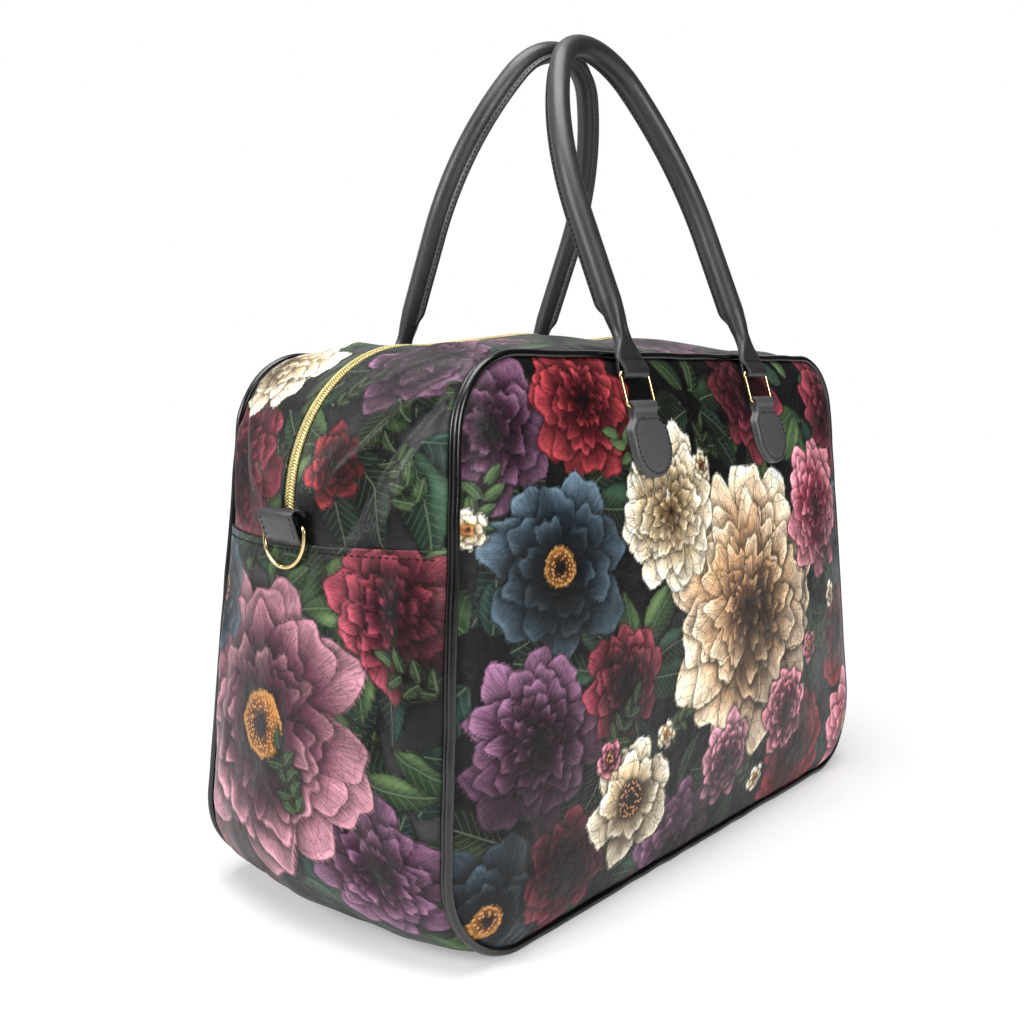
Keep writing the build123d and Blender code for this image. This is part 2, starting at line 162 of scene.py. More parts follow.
def loop_parts(half_low, half_high, low, high, radius_low, radius_high):
    """Arc centres, lean and the lengths of the five runs of half an outline."""
    lean = np.arctan((half_low - half_high) / (high - low))
    z1 = low + radius_low
    x1 = half_low - (z1 - low) * np.tan(lean) - radius_low / np.cos(lean)
    z2 = high - radius_high
    x2 = half_low - (z2 - low) * np.tan(lean) - radius_high / np.cos(lean)
    side = (z2 - z1 + (radius_high - radius_low) * np.sin(lean)) / np.cos(lean)
    runs = (x1, radius_low * (math.pi / 2 + lean), side, radius_high * (math.pi / 2 - lean), x2)
    return lean, (x1, z1), (x2, z2), runs


REFERENCE_RUNS = loop_parts(*loop_sizes(0.0, 0.0))[3]
HALF_LOOP = float(sum(REFERENCE_RUNS))


def loop_point(s, sizes, runs):
    """X and Z on an outline at a length s from the middle of its bottom, by its left side."""
    low, high, radius_low, radius_high = sizes[2:]
    lean, (x1, z1), (x2, z2), _ = loop_parts(*sizes)
    knots = np.concatenate([[0], np.cumsum(runs)])
    s = np.asarray(s, float)
    mirrored = s > knots[-1]
    s = np.where(mirrored, 2 * knots[-1] - s, s)
    flip = np.where(s < 0, -1.0, 1.0) * np.where(mirrored, -1.0, 1.0)
    s = np.abs(s)
    f = [np.clip((s - knots[k]) / runs[k], 0, 1) for k in range(5)]
    turn1 = -math.pi / 2 - f[1] * (math.pi / 2 + lean)
    turn2 = -math.pi - lean - f[3] * (math.pi / 2 - lean)
    nx, nz = -np.cos(lean), np.sin(lean)
    side_x = -x1 + radius_low * nx
    side_z = z1 + radius_low * nz
    top_x = -x2 + radius_high * nx
    top_z = z2 + radius_high * nz
    x = np.select(
        [s < knots[1], s < knots[2], s < knots[3], s < knots[4]],
        [
            -x1 * f[0],
            -x1 + radius_low * np.cos(turn1),
            side_x + (top_x - side_x) * f[2],
            -x2 + radius_high * np.cos(turn2),
        ],
        -x2 * (1 - f[4]),
    )
    z = np.select(
        [s < knots[1], s < knots[2], s < knots[3], s < knots[4]],
        [
            low + 0 * s,
            z1 + radius_low * np.sin(turn1),
            side_z + (top_z - side_z) * f[2],
            z2 + radius_high * np.sin(turn2),
        ],
        high + 0 * s,
    )
    return x * flip, z


def mirrored_over_top(s):
    """Lengths on the right half of the gusset's loop, as the left half has them."""
    return np.where(s > HALF_LOOP, 2 * HALF_LOOP - s, s)


def top_humps(s, t):
    """How far the stuffed top rises in two low humps over its middle."""
    x = np.abs(s - HALF_LOOP)
    rise = 6.5 * (1 - smooth(75, 165, x)) + 3.0 * np.exp(-(((x - 52) / 26) ** 2))
    return rise * (1 - t * t)


def skin(s, t, out=0.0):
    """Points of the gusset at a length s round it and a share t of the half depth."""
    s, t, out = np.broadcast_arrays(np.asarray(s, float), np.asarray(t, float), np.asarray(out, float))
    out = out + top_humps(s, t)
    x, z = loop_point(s, loop_sizes(t, out), REFERENCE_RUNS)
    turn = PANEL_LEAN * t
    return np.stack([x, t * HALF_DEPTH - z * np.sin(turn), z * np.cos(turn)], axis=-1)


def height_length(height):
    """The length s round the gusset at which its middle stands at a height, on the left end."""
    s = np.linspace(REFERENCE_RUNS[0], HALF_LOOP, 4000)
    z = skin(s, 0 * s)[:, 2]
    return float(np.interp(height, z, s))


def lap_lengths(t):
    """The length s round the gusset at which each share t of its depth reaches the lap's height."""
    s = np.linspace(REFERENCE_RUNS[0], HALF_LOOP, 1500)
    return np.array([np.interp(LAP_HEIGHT, skin(s, share, CLOTH)[:, 2], s) for share in t])


PIPING_SIZES = (BOTTOM_WIDTH / 2, TOP_WIDTH / 2, PIPING, BAG_HEIGHT - PIPING, BOTTOM_RADIUS, TOP_RADIUS)
PIPING_RUNS = loop_parts(*PIPING_SIZES)[3]
PIPING_HALF = float(sum(PIPING_RUNS))


def front_point(u, v, w):
    """A point of the leaning front plane: u along X, v up it, w out of it."""
    u, v, w = np.broadcast_arrays(u, v, w)
    c, s = math.cos(PANEL_LEAN), math.sin(PANEL_LEAN)
    return np.stack([u, -HALF_DEPTH + v * s - w * c, v * c + w * s], axis=-1)


def inset_of(u, v):
    """How far a point of the front plane lies inside the line of the piping."""
    half_low, _, low, high, radius_low, radius_high = PIPING_SIZES
    lean, (x1, z1), (x2, z2), _ = loop_parts(*PIPING_SIZES)
    u = np.abs(u)
    side = (half_low - (v - low) * np.tan(lean) - u) * np.cos(lean)
    inset = np.minimum(np.minimum(side, v - low), high - v)
    for cx, cz, radius, sign in ((x1, z1, radius_low, -1), (x2, z2, radius_high, 1)):
        du, dv = u - cx, sign * (v - cz)
        along_side = sign * ((v - cz) * np.cos(lean) - du * np.sin(lean))
        corner = (du > 0) & (dv > 0) & (along_side > 0)
        inset = np.where(corner, radius - np.hypot(du, dv), inset)
    return inset


FIELD_STEP = 6.0


def stuffed_field():
    """The shape of a skin pushed out evenly inside the piping, 0 at its edge and 1 at its top."""
    columns = int(BOTTOM_WIDTH / FIELD_STEP) + 5
    rows = int(BAG_HEIGHT / FIELD_STEP) + 5
    u = (np.arange(columns) - (columns - 1) / 2) * FIELD_STEP
    v = (np.arange(rows) - 2) * FIELD_STEP
    inside = inset_of(*np.meshgrid(u, v)) > 0
    field = np.zeros((rows, columns))
    for _ in range(2500):
        pushed = np.zeros_like(field)
        pushed[1:-1, 1:-1] = 0.25 * (
            field[:-2, 1:-1] + field[2:, 1:-1] + field[1:-1, :-2] + field[1:-1, 2:] + 1
        )
        field = np.where(inside, pushed, 0)
    return field / field.max()


STUFFED = stuffed_field()


def panel_level(u, v):
    """How far a panel stands out of its plane."""
    columns = STUFFED.shape[1]
    share = sampled(STUFFED, u / FIELD_STEP + (columns - 1) / 2, v / FIELD_STEP + 2)
    inset = np.maximum(inset_of(u, v), 0)
    reach = BAG_HEIGHT / 2 * (1 - np.sqrt(1 - np.clip(share, 0, 1)))
    near = smooth(20, 60, inset)
    deep = inset * (1 - near) + reach * near
    part = np.minimum(deep / CROWN_REACH, 1)
    crown = PANEL_CROWN * (1 - (1 - part) ** 2)
    return PIPING + crown - 3.6 * np.exp(-np.maximum(inset - PIPING, 0) / 3.5)


# Making meshes


def warped_grid(points, close_rows=False, cap=False):
    """A bmesh grid whose corners are moved to an array of points in millimetres."""
    rows, columns = points.shape[:2]
    bm = bmesh.new()
    bmesh.ops.create_grid(bm, x_segments=columns - 1, y_segments=rows - 1, size=0.5)
    flat_points = points.reshape(-1, 3) * MM
    for vert in bm.verts:
        column = round((vert.co.x + 0.5) * (columns - 1))
        row = round((vert.co.y + 0.5) * (rows - 1))
        vert.co = flat_points[row * columns + column]
    if close_rows:
        edge = [vert for vert in bm.verts if vert.is_boundary]
        bmesh.ops.remove_doubles(bm, verts=edge, dist=1e-7)
    if cap:
        bmesh.ops.holes_fill(bm, edges=[edge for edge in bm.edges if edge.is_boundary], sides=0)
        bmesh.ops.recalc_face_normals(bm, faces=bm.faces)
    return bm


def swept(path, across, out, section, closed=False):
    """A tube along a path: section has (across, out) for each corner, at each point or for all."""
    section = np.asarray(section, float)
    if section.ndim == 2:
        section = np.broadcast_to(section, (len(path), *section.shape))
    rings = (
        path[:, None, :]
        + section[:, :, :1] * across[:, None, :]
        + section[:, :, 1:] * out[:, None, :]
    )
    rings = np.concatenate([rings, rings[:, :1]], axis=1)
    if closed:
        rings = np.concatenate([rings, rings[:1]], axis=0)
    bm = warped_grid(rings, close_rows=True, cap=not closed)
    bmesh.ops.recalc_face_normals(bm, faces=bm.faces)
    return bm


def circle(radius, count, start=0.0):
    """Corners of a round section."""
    angles = start + np.arange(count) * 2 * math.pi / count
    return np.stack([radius * np.cos(angles), radius * np.sin(angles)], axis=-1)


def mesh_of(name, bm):
    """Makes a mesh of a bmesh and frees the bmesh."""
    mesh = bpy.data.meshes.new(name)
    bm.to_mesh(mesh)
    bm.free()
    return mesh


def linked(name, data):
    """A new object in the scene."""
    made = bpy.data.objects.new(name, data)
    bpy.context.scene.collection.objects.link(made)
    return made


def joined(bm, other):
    """Adds another bmesh to the first and frees it."""
    mesh = mesh_of("joined", other)
    bm.from_mesh(mesh)
    bpy.data.meshes.remove(mesh)


def finished(name, bm, material, body, replaces=(), back=False, shade_angle=None):
    """Makes an object of a bmesh, smooth, with its material, body and slot; back turns it there."""
    if back:
        half_turn = Matrix.Rotation(math.pi, 3, "Z")
        bmesh.ops.rotate(bm, verts=bm.verts, cent=(0, 0, 0), matrix=half_turn)
    mesh = mesh_of(name, bm)
    mesh.materials.append(material)
    mesh.shade_smooth()
    if shade_angle:
        mesh.set_sharp_from_angle(angle=math.radians(shade_angle))
    piece = linked(name, mesh)
    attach(piece, body)
    if replaces:
        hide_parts(*replaces)
    return piece


def stitch_mesh(length, width, height):
    """One stitch: a plump length of thread that lies along X."""
    bm = bmesh.new()
    bmesh.ops.create_icosphere(bm, subdivisions=1, radius=0.5)
    bmesh.ops.scale(bm, verts=bm.verts, vec=(length * MM, width * MM, height * MM))
    return mesh_of("stitch", bm)


def place(point, along, out):
    """The matrix that puts X along a direction and Z out of a surface, at a point in mm."""
    along = Vector(along).normalized()
    out = Vector(out)
    side = out.cross(along).normalized()
    out = along.cross(side)
    matrix = Matrix((along, side, out)).transposed().to_4x4()
    matrix.translation = Vector(point) * MM
    return matrix


def repeated(bm, mesh, places):
    """Adds a small mesh at every place."""
    for matrix in places:
        copy = mesh.copy()
        copy.transform(matrix)
        bm.from_mesh(copy)
        bpy.data.meshes.remove(copy)


def read_along(stops, lengths, rows):
    """Points or directions between rows that stand at lengths along a path."""
    return np.stack([np.interp(stops, lengths, rows[:, k]) for k in range(3)], axis=-1)


def stitched(bm, path, out, pitch=3.4, length=2.7, width=0.75, height=0.55, lift=0.1):
    """A row of stitches along a path; out is one direction or one for each point of the path."""
    lengths = np.concatenate([[0], np.cumsum(np.linalg.norm(np.diff(path, axis=0), axis=1))])
    count = max(int(lengths[-1] / pitch), 1)
    stops = (np.arange(count) + 0.5) * lengths[-1] / count
    points = read_along(stops, lengths, path)
    ahead = read_along(stops + 0.2, lengths, path) - points
    out = read_along(stops, lengths, np.broadcast_to(out, path.shape))
    mesh = stitch_mesh(length, width, height)
    repeated(bm, mesh, [place(p + n * lift, d, n) for p, d, n in zip(points, ahead, out)])
    bpy.data.meshes.remove(mesh)


# Materials


def linear(code):
    """Linear RGB of an sRGB hex value."""
    values = [int(code[k : k + 2], 16) / 255 for k in (1, 3, 5)]
    return tuple(v / 12.92 if v <= 0.04045 else ((v + 0.055) / 1.055) ** 2.4 for v in values)


def colour(code):
    """Linear RGBA of an sRGB hex value."""
    return (*linear(code), 1.0)


def add(tree, kind, inputs=None, **settings):
    """Adds a shader node with its settings; an input is a value, a socket or a node that feeds it."""
    node = tree.nodes.new("ShaderNode" + kind)
    for name, value in settings.items():
        setattr(node, name, value)
    for name, value in (inputs or {}).items():
        if isinstance(value, bpy.types.Node):
            value = next(socket for socket in value.outputs if socket.enabled)
        if isinstance(value, bpy.types.NodeSocket):
            tree.links.new(value, node.inputs[name])
        else:
            node.inputs[name].default_value = value
    return node


def new_material(name):
    """An empty node material and its tree."""
    material = bpy.data.materials.new(name)
    material.use_nodes = True
    material.node_tree.nodes.clear()
    return material, material.node_tree


# The print


GROUND = "#0a090a"
# The gusset is the panels' cloth with a lighter ground: painted sheen, for the grey sheen over its top
# and ends.
GUSSET_GROUND_LIGHTENED_AS_SHEEN = "#2c2b2d"
PALETTES = {
    "burgundy": ("#0d0306", "#3a111b", "#7c3440"),
    "plum": ("#0c050b", "#351a2c", "#735069"),
    "rose": ("#26080f", "#7e2a40", "#cf8793"),
    "mauve": ("#1a0810", "#6b364a", "#b8838f"),
    "ivory": ("#5e4a30", "#c9b28c", "#fbf0d8"),
    "slate": ("#06090c", "#1b2630", "#4d5f6b"),
    "crimson": ("#120204", "#4a0f17", "#8e3238"),
    "apricot": ("#5e402a", "#d0a67c", "#fbe5c6"),
}
GREENS = (
    ("#040a07", "#172b1f", "#40604a"),
    ("#070f09", "#22381f", "#6a8254"),
    ("#040908", "#10231f", "#31534a"),
)
GOLD_HEART = ("#1a0c05", "#a5682a", "#e6b45a")
DARK_HEART = ("#0a0508", "#2a1018", "#7a5a3a")
STREAK, VEIN, STAMEN = 1, 2, 3


def shaded(palette, middle_share, pale_share):
    """Inks that rise from a palette's dark colour to its middle and then its pale one."""
    dark, middle, pale = (np.array(linear(code)) for code in palette)
    ink = dark + (middle - dark) * middle_share[:, None]
    return ink + (pale - ink) * pale_share[:, None]


def marked(craze, channel, values):
    """The marks of a shape: its share of crackle, and one of streak, vein and stamen."""
    marks = np.zeros((values.size, 4))
    marks[:, 0] = craze
    marks[:, channel] = values
    return marks


class Print:
    """A printed picture on a grid of cloth points: its ink, outlines, grain and marks.

    ink is the colour, lines has three signed distances whose zero is a petal's outline,
    grain runs (across, along) a petal or leaf, and marks say how much crackle, streak,
    vein and stamen each point shows.
    """

    def __init__(self, x, y, seed, ground=GROUND):
        self.x = x.ravel()
        self.y = y.ravel()
        count = self.x.size
        self.rng = np.random.default_rng(seed)
        self.ink = np.tile(linear(ground), (count, 1)).astype(float)
        mist = 1 + 0.6 * noise(seed + 1, self.x, self.y, 34)
        self.ink *= mist[:, None]
        self.lines = np.full((count, 3), -9.0)
        self.grain = np.zeros((count, 3))
        self.marks = np.zeros((count, 4))
        self.marks[:, 0] = 0.15
        self.order = 0
        self.rough = noise(seed + 2, self.x, self.y, 9)
        self.light = noise(seed + 3, self.x, self.y, 45)

    def near(self, x, y, reach):
        """The points within a square round a place."""
        return np.flatnonzero((np.abs(self.x - x) < reach) & (np.abs(self.y - y) < reach))

    def lay(self, points, distance, ink, grain, marks, shadow=5.0):
        """Lays a shape over what is there: distance is positive inside it."""
        self.order += 1
        under = (distance <= 0) & (distance > -shadow)
        self.ink[points[under]] *= (1 - 0.72 * (1 + distance[under] / shadow) ** 1.5)[:, None]
        over = distance > 0
        target = points[over]
        self.ink[target] = ink[over]
        self.grain[target] = grain[over]
        self.marks[target] = marks[over]
        capped = np.clip(distance, -9, 9)
        for bit in range(3):
            if (self.order * 3 + 1) >> bit & 1:
                self.lines[points, bit] = np.maximum(self.lines[points, bit], capped)
            else:
                self.lines[points, bit] = np.minimum(self.lines[points, bit], -capped)

    def petal(self, base, angle, length, spread, palette, ruffle=0.07, deep=0.0, glow=1.0):
        """A fan-shaped petal from its base: spread is half its opening in radians."""
        points = self.near(*base, length * 1.25)
        if not points.size:
            return
        dx, dy = self.x[points] - base[0], self.y[points] - base[1]
        r = np.hypot(dx, dy) + 1e-6
        phi = (np.arctan2(dy, dx) - angle + math.pi) % (2 * math.pi) - math.pi
        wobble, second, third = self.rng.uniform(0, 6.28, 3)
        lean = self.rng.uniform(-0.3, 0.3)
        edge = np.cos(np.clip(phi / spread, -1, 1) * math.pi / 2)
        rim = length * edge**0.32
        frill = np.sin(phi * 9 + wobble) + 0.6 * np.sin(phi * 19 + second)
        rim *= 1 + ruffle * frill + 0.02 * self.rough[points]
        inside = np.minimum(rim - r, (spread - np.abs(phi)) * r * 0.9)
        share = np.clip(r / length, 0, 1)
        tone = np.clip(share * 1.15 - deep, 0, 1)
        ink = shaded(palette, smooth(0.1, 0.8, tone), 0.9 * smooth(0.6, 1.05, tone))
        crease = 1 + 0.22 * np.sin(phi * 7 / spread + third) * share + lean * phi / spread
        curl = 1 + 0.6 * np.exp(-((inside - 1.8) / 1.4) ** 2) * edge
        side = 1 + 0.35 * np.cos(angle - 2.2) + 0.25 * self.light[points] + 0.12 * self.rough[points]
        ink = ink * (crease * curl * side * glow)[:, None]
        grain = np.stack([phi * length, r, np.full_like(r, self.order * 7.3)], axis=-1)
        bright = float(np.mean(linear(palette[1]))) ** 0.5
        marks = marked(0.25 + 1.1 * bright, STREAK, smooth(0.0, 1.5, inside))
        self.lay(points, inside, ink, grain, marks, shadow=length * 0.12 + 2)

    def centre(self, x, y, radius, palette):
        """A flower's boss with a ring of stamens."""
        points = self.near(x, y, radius * 1.3)
        r = np.hypot(self.x[points] - x, self.y[points] - y)
        r = r * (1 + 0.1 * self.rough[points])
        share = r / radius
        ink = shaded(palette, smooth(0.25, 0.8, share), 0.5 * smooth(0.75, 1.0, share))
        grain = np.stack([r, r, r * 0], axis=-1)
        marks = marked(0.3, STAMEN, smooth(0.3, 0.5, share))
        self.lay(points, radius - r, ink, grain, marks, shadow=radius * 0.3)

    def blossom(self, x, y, radius, name, rings, petals, open_centre=0.0, heart=None):
        """A many-petalled flower, laid ring by ring from the outside in."""
        palette = PALETTES[name]
        turn = self.rng.uniform(0, 6.28)
        for ring in range(rings):
            share = 1 - ring / rings * (0.95 - open_centre)
            count = max(petals - ring // 2, 4)
            for k in self.rng.permutation(count):
                angle = turn + (k + 0.5 * ring) * 2 * math.pi / count + self.rng.uniform(-0.16, 0.16)
                push = radius * 0.1 * share
                base = (x + push * math.cos(angle), y + push * math.sin(angle))
                length = radius * share * self.rng.uniform(0.86, 1.06)
                spread = math.pi / count * self.rng.uniform(1.25, 1.6)
                self.petal(
                    base, angle, length, spread, palette,
                    ruffle=0.035 + 0.02 * ring, deep=0.1 * ring * self.rng.uniform(0.4, 1.2),
                    glow=self.rng.uniform(0.82, 1.12) * (1 - 0.05 * ring),
                )
        if open_centre:
            self.centre(x, y, radius * open_centre, heart)

    def leaf(self, x, y, angle, length, width, palette):
        """A pointed leaf from its stalk, with a midrib and side veins."""
        points = self.near(x, y, length * 1.2)
        if not points.size:
            return
        dx, dy = self.x[points] - x, self.y[points] - y
        bend = self.rng.uniform(-0.35, 0.35) / length
        along = dx * math.cos(angle) + dy * math.sin(angle)
        across = -dx * math.sin(angle) + dy * math.cos(angle) + bend * along * along
        v = np.clip(along / length, 0, 1)
        half = width * 0.5 * np.sin(math.pi * v**0.8) * (1 + 0.05 * np.sin(along * 2.2))
        inside = np.minimum(half - np.abs(across), np.minimum(along, length - along))
        lit = smooth(-0.6, 0.6, across / width * 1.6 + 0.5 * self.light[points])
        rib = np.exp(-((np.abs(np.abs(across) - 0.28 * width) / (0.16 * width)) ** 2)) * lit
        ink = shaded(palette, 0.35 + 0.65 * lit, 0.5 * rib)
        ink = ink * (1 + 0.25 * np.sin(v * 3.1))[:, None] * self.rng.uniform(0.75, 1.15)
        grain = np.stack([across, along, np.full_like(v, self.order * 3.1)], axis=-1)
        marks = marked(0.3, VEIN, smooth(0.0, 1.2, inside))
        self.lay(points, inside, ink, grain, marks, shadow=4)

    def foliage(self, x, y, radius, count):
        """Leaves that spread out round a place."""
        start = self.rng.uniform(0, 6.28)
        for k in range(count):
            angle = start + k * 2 * math.pi / count + self.rng.uniform(-0.35, 0.35)
            length = radius * self.rng.uniform(0.55, 0.95)
            out = radius * self.rng.uniform(0.15, 0.5)
            palette = GREENS[self.rng.integers(3)]
            self.leaf(
                x + out * math.cos(angle), y + out * math.sin(angle), angle,
                length, length * self.rng.uniform(0.42, 0.6), palette,
            )

    def spray(self, x, y, angle, count, size):
        """A twig with small paired leaves."""
        for k in range(count + 1):
            px = x + k * size * 0.55 * math.cos(angle)
            py = y + k * size * 0.55 * math.sin(angle)
            if k == count:
                self.leaf(px, py, angle, size, size * 0.5, GREENS[1])
                break
            for side in (-1, 1):
                turn = angle + side * self.rng.uniform(0.6, 1.0)
                self.leaf(px, py, turn, size * self.rng.uniform(0.8, 1.1), size * 0.5, GREENS[1])

    def written(self, mesh, flat):
        """Writes the print to a mesh as attributes of its points, the dark flowers sunk in gloom."""
        gloom = smooth(-0.75, 0.35, noise(5, self.x, self.y, 62) + 0.3 * noise(6, self.x, self.y, 23))
        pale = smooth(0.12, 0.4, np.mean(self.ink, axis=1))
        shade = (0.32 + 0.9 * gloom) * (1 - pale) + (0.86 + 0.2 * gloom) * pale
        ink = np.ones((len(self.ink), 4))
        ink[:, :3] = np.clip(self.ink * shade[:, None], 0, 1)
        for name, kind, values in (
            ("ink", "FLOAT_COLOR", ink),
            ("lines", "FLOAT_VECTOR", self.lines),
            ("grain", "FLOAT_VECTOR", self.grain),
            ("marks", "FLOAT_COLOR", self.marks),
            ("flat", "FLOAT_VECTOR", flat),
        ):
            layer = mesh.attributes.new(name, kind, "POINT")
            field = "color" if kind == "FLOAT_COLOR" else "vector"
            layer.data.foreach_set(field, np.ascontiguousarray(values, dtype=np.float32).ravel())


# Where the front's flowers stand: kind, along, up, radius, rings and petals, and for an open
# flower the share of its heart and the heart's colours
FRONT_FLOWERS = (
    ("plum", -206, 292, 44, 4, 7),
    ("crimson", -128, 306, 46, 6, 9),
    ("burgundy", 196, 296, 50, 6, 9),
    ("burgundy", 60, 306, 44, 5, 8),
    ("crimson", 116, 40, 50, 6, 9),
    ("slate", -222, 30, 44, 3, 6, 0.22, GOLD_HEART),
    ("plum", -46, 18, 44, 5, 9),
    ("slate", 216, 196, 42, 3, 7, 0.2, DARK_HEART),
    ("slate", -164, 214, 52, 3, 7, 0.22, GOLD_HEART),
    ("plum", -186, 122, 48, 6, 10),
    ("burgundy", -112, 140, 34, 5, 8),
    ("burgundy", -164, 40, 36, 5, 8),
    ("crimson", 204, 112, 40, 5, 9),
    ("ivory", -104, 66, 40, 2, 6, 0.3, DARK_HEART),
    ("apricot", 34, 164, 98, 8, 10),
    ("ivory", -58, 236, 50, 6, 9),
    ("rose", 150, 222, 52, 7, 10),
    ("rose", 92, 78, 32, 5, 8),
    ("mauve", 8, 62, 30, 5, 8),
    ("rose", 222, 38, 44, 4, 8, 0.2, GOLD_HEART),
)
FRONT_LEAVES = (
    (-190, 60, 70, 9), (-150, 250, 78, 9), (-60, 40, 62, 8), (60, 292, 62, 8), (160, 60, 75, 9),
    (190, 250, 74, 9), (-110, 140, 66, 9), (20, 60, 56, 7), (118, 150, 60, 8), (-215, 170, 54, 8),
    (215, 130, 54, 7), (-14, 300, 54, 8), (134, 300, 50, 7), (-235, 250, 46, 7), (-120, 20, 44, 7),
)
SPRAYS = (
    (-128, 98, 0.9, 4, 16), (-84, 268, 2.5, 3, 15), (128, 118, 0.2, 4, 17), (-20, 262, 1.2, 3, 14),
    (-70, 98, 0.3, 3, 13), (60, 34, 2.7, 3, 14), (-220, 240, 1.1, 3, 15), (176, 150, 1.9, 3, 14),
)


def sown(art, leaves, flowers, sprays):
    """Lays the leaves, then the flowers, then the twigs, and small blossoms between them."""
    for px, py, size, count in leaves:
        art.foliage(px, py, size, count)
    for kind, px, py, *shape in flowers:
        art.blossom(px, py, shape[0], kind, *shape[1:])
    for px, py, angle, count, size in sprays:
        art.spray(px, py, angle, count, size)
        kind = "ivory" if count == 3 else "rose"
        art.blossom(px, py, size * 0.7, kind, 2, 5, 0.3, GOLD_HEART)
    return art


def front_print(x, y):
    """The front's picture: pale double flowers among dark ones and leaves."""
    return sown(Print(x, y, 11), FRONT_LEAVES, FRONT_FLOWERS, SPRAYS)


def back_print(x, y):
    """The back's picture: the same cloth, cut the other way up."""
    art = Print(x, y, 17)
    leaves = [(-px, BAG_HEIGHT - py, size, count) for px, py, size, count in FRONT_LEAVES]
    flowers = [(kind, -px, BAG_HEIGHT - py, *rest) for kind, px, py, *rest in FRONT_FLOWERS]
    sprays = [(-px, BAG_HEIGHT - py, angle, count, size) for px, py, angle, count, size in SPRAYS]
    return sown(art, leaves, flowers, sprays)


# The flowers of an end, from the middle of the end's seam: up the end, then across to the back
END_FLOWERS = (
    ("crimson", -196, 60, 40, 5, 8),
    ("plum", -168, -66, 42, 5, 9),
    ("mauve", -104, 22, 84, 5, 9, 0.24, GOLD_HEART),
    ("burgundy", -28, -74, 36, 5, 8),
    ("slate", -30, 84, 34, 3, 7, 0.2, DARK_HEART),
)
UPPER_FLOWERS = (
    ("burgundy", 40, 62, 48, 6, 9),
    ("ivory", 118, 74, 50, 5, 8),
    ("plum", 122, -62, 46, 5, 9),
    ("mauve", 196, -30, 34, 5, 8),
    ("crimson", 44, -34, 22, 4, 7),
)

END_SPRAYS = (
    (-150, -10, 0.4, 4, 16), (-60, -98, 1.2, 3, 14), (80, -20, -0.6, 3, 14), (20, -86, 0.5, 4, 15),
)


def gusset_print(x, y, seed):
    """The gusset's picture, on lengths round it and across it; both ends have the same flowers."""
    # The gusset's lighter ground is painted sheen.
    art = Print(x, y, seed, GUSSET_GROUND_LIGHTENED_AS_SHEEN)
    rng = art.rng
    low, high = float(np.min(x)), float(np.max(x))
    upper = low > 0
    step = 56.0
    for k in range(int((high - low) / step) + 1):
        for row in (-78, -26, 26, 78):
            art.foliage(
                low + (k + 0.5 * (row in (-26, 78))) * step + rng.uniform(-12, 12),
                row + rng.uniform(-10, 10), rng.uniform(44, 70), 7,
            )
    flowers = UPPER_FLOWERS if upper else END_FLOWERS
    for kind, up, across, *shape in flowers:
        ends = ((LAP_S + up, across), (2 * HALF_LOOP - LAP_S - up, -across))
        if not upper:
            ends = ((LAP_S + up, across), (-LAP_S - up, -across))
        for px, py in ends:
            art.blossom(px, py, shape[0], kind, *shape[1:])
    names = ("burgundy", "plum", "mauve", "crimson", "slate", "rose")
    reach = 250 if upper else REFERENCE_RUNS[0] - 60
    middle = HALF_LOOP if upper else 0.0
    span = 2 * (HALF_LOOP - LAP_S - reach) if upper else 2 * reach
    for k in range(int(span / 64)):
        side = -1 if k % 2 else 1
        px = middle - span / 2 + (k + 0.5) * 64
        art.blossom(px, side * rng.uniform(40, 64), rng.uniform(32, 46), names[k % 6], 5, 8)
    for side in (1, -1):
        for up, across, angle, count, size in END_SPRAYS:
            px = (LAP_S + up) if side > 0 else (2 * HALF_LOOP if upper else 0) - LAP_S - up
            art.spray(px, across * side, angle + (side < 0) * math.pi, count, size)
    return art


# Finishes


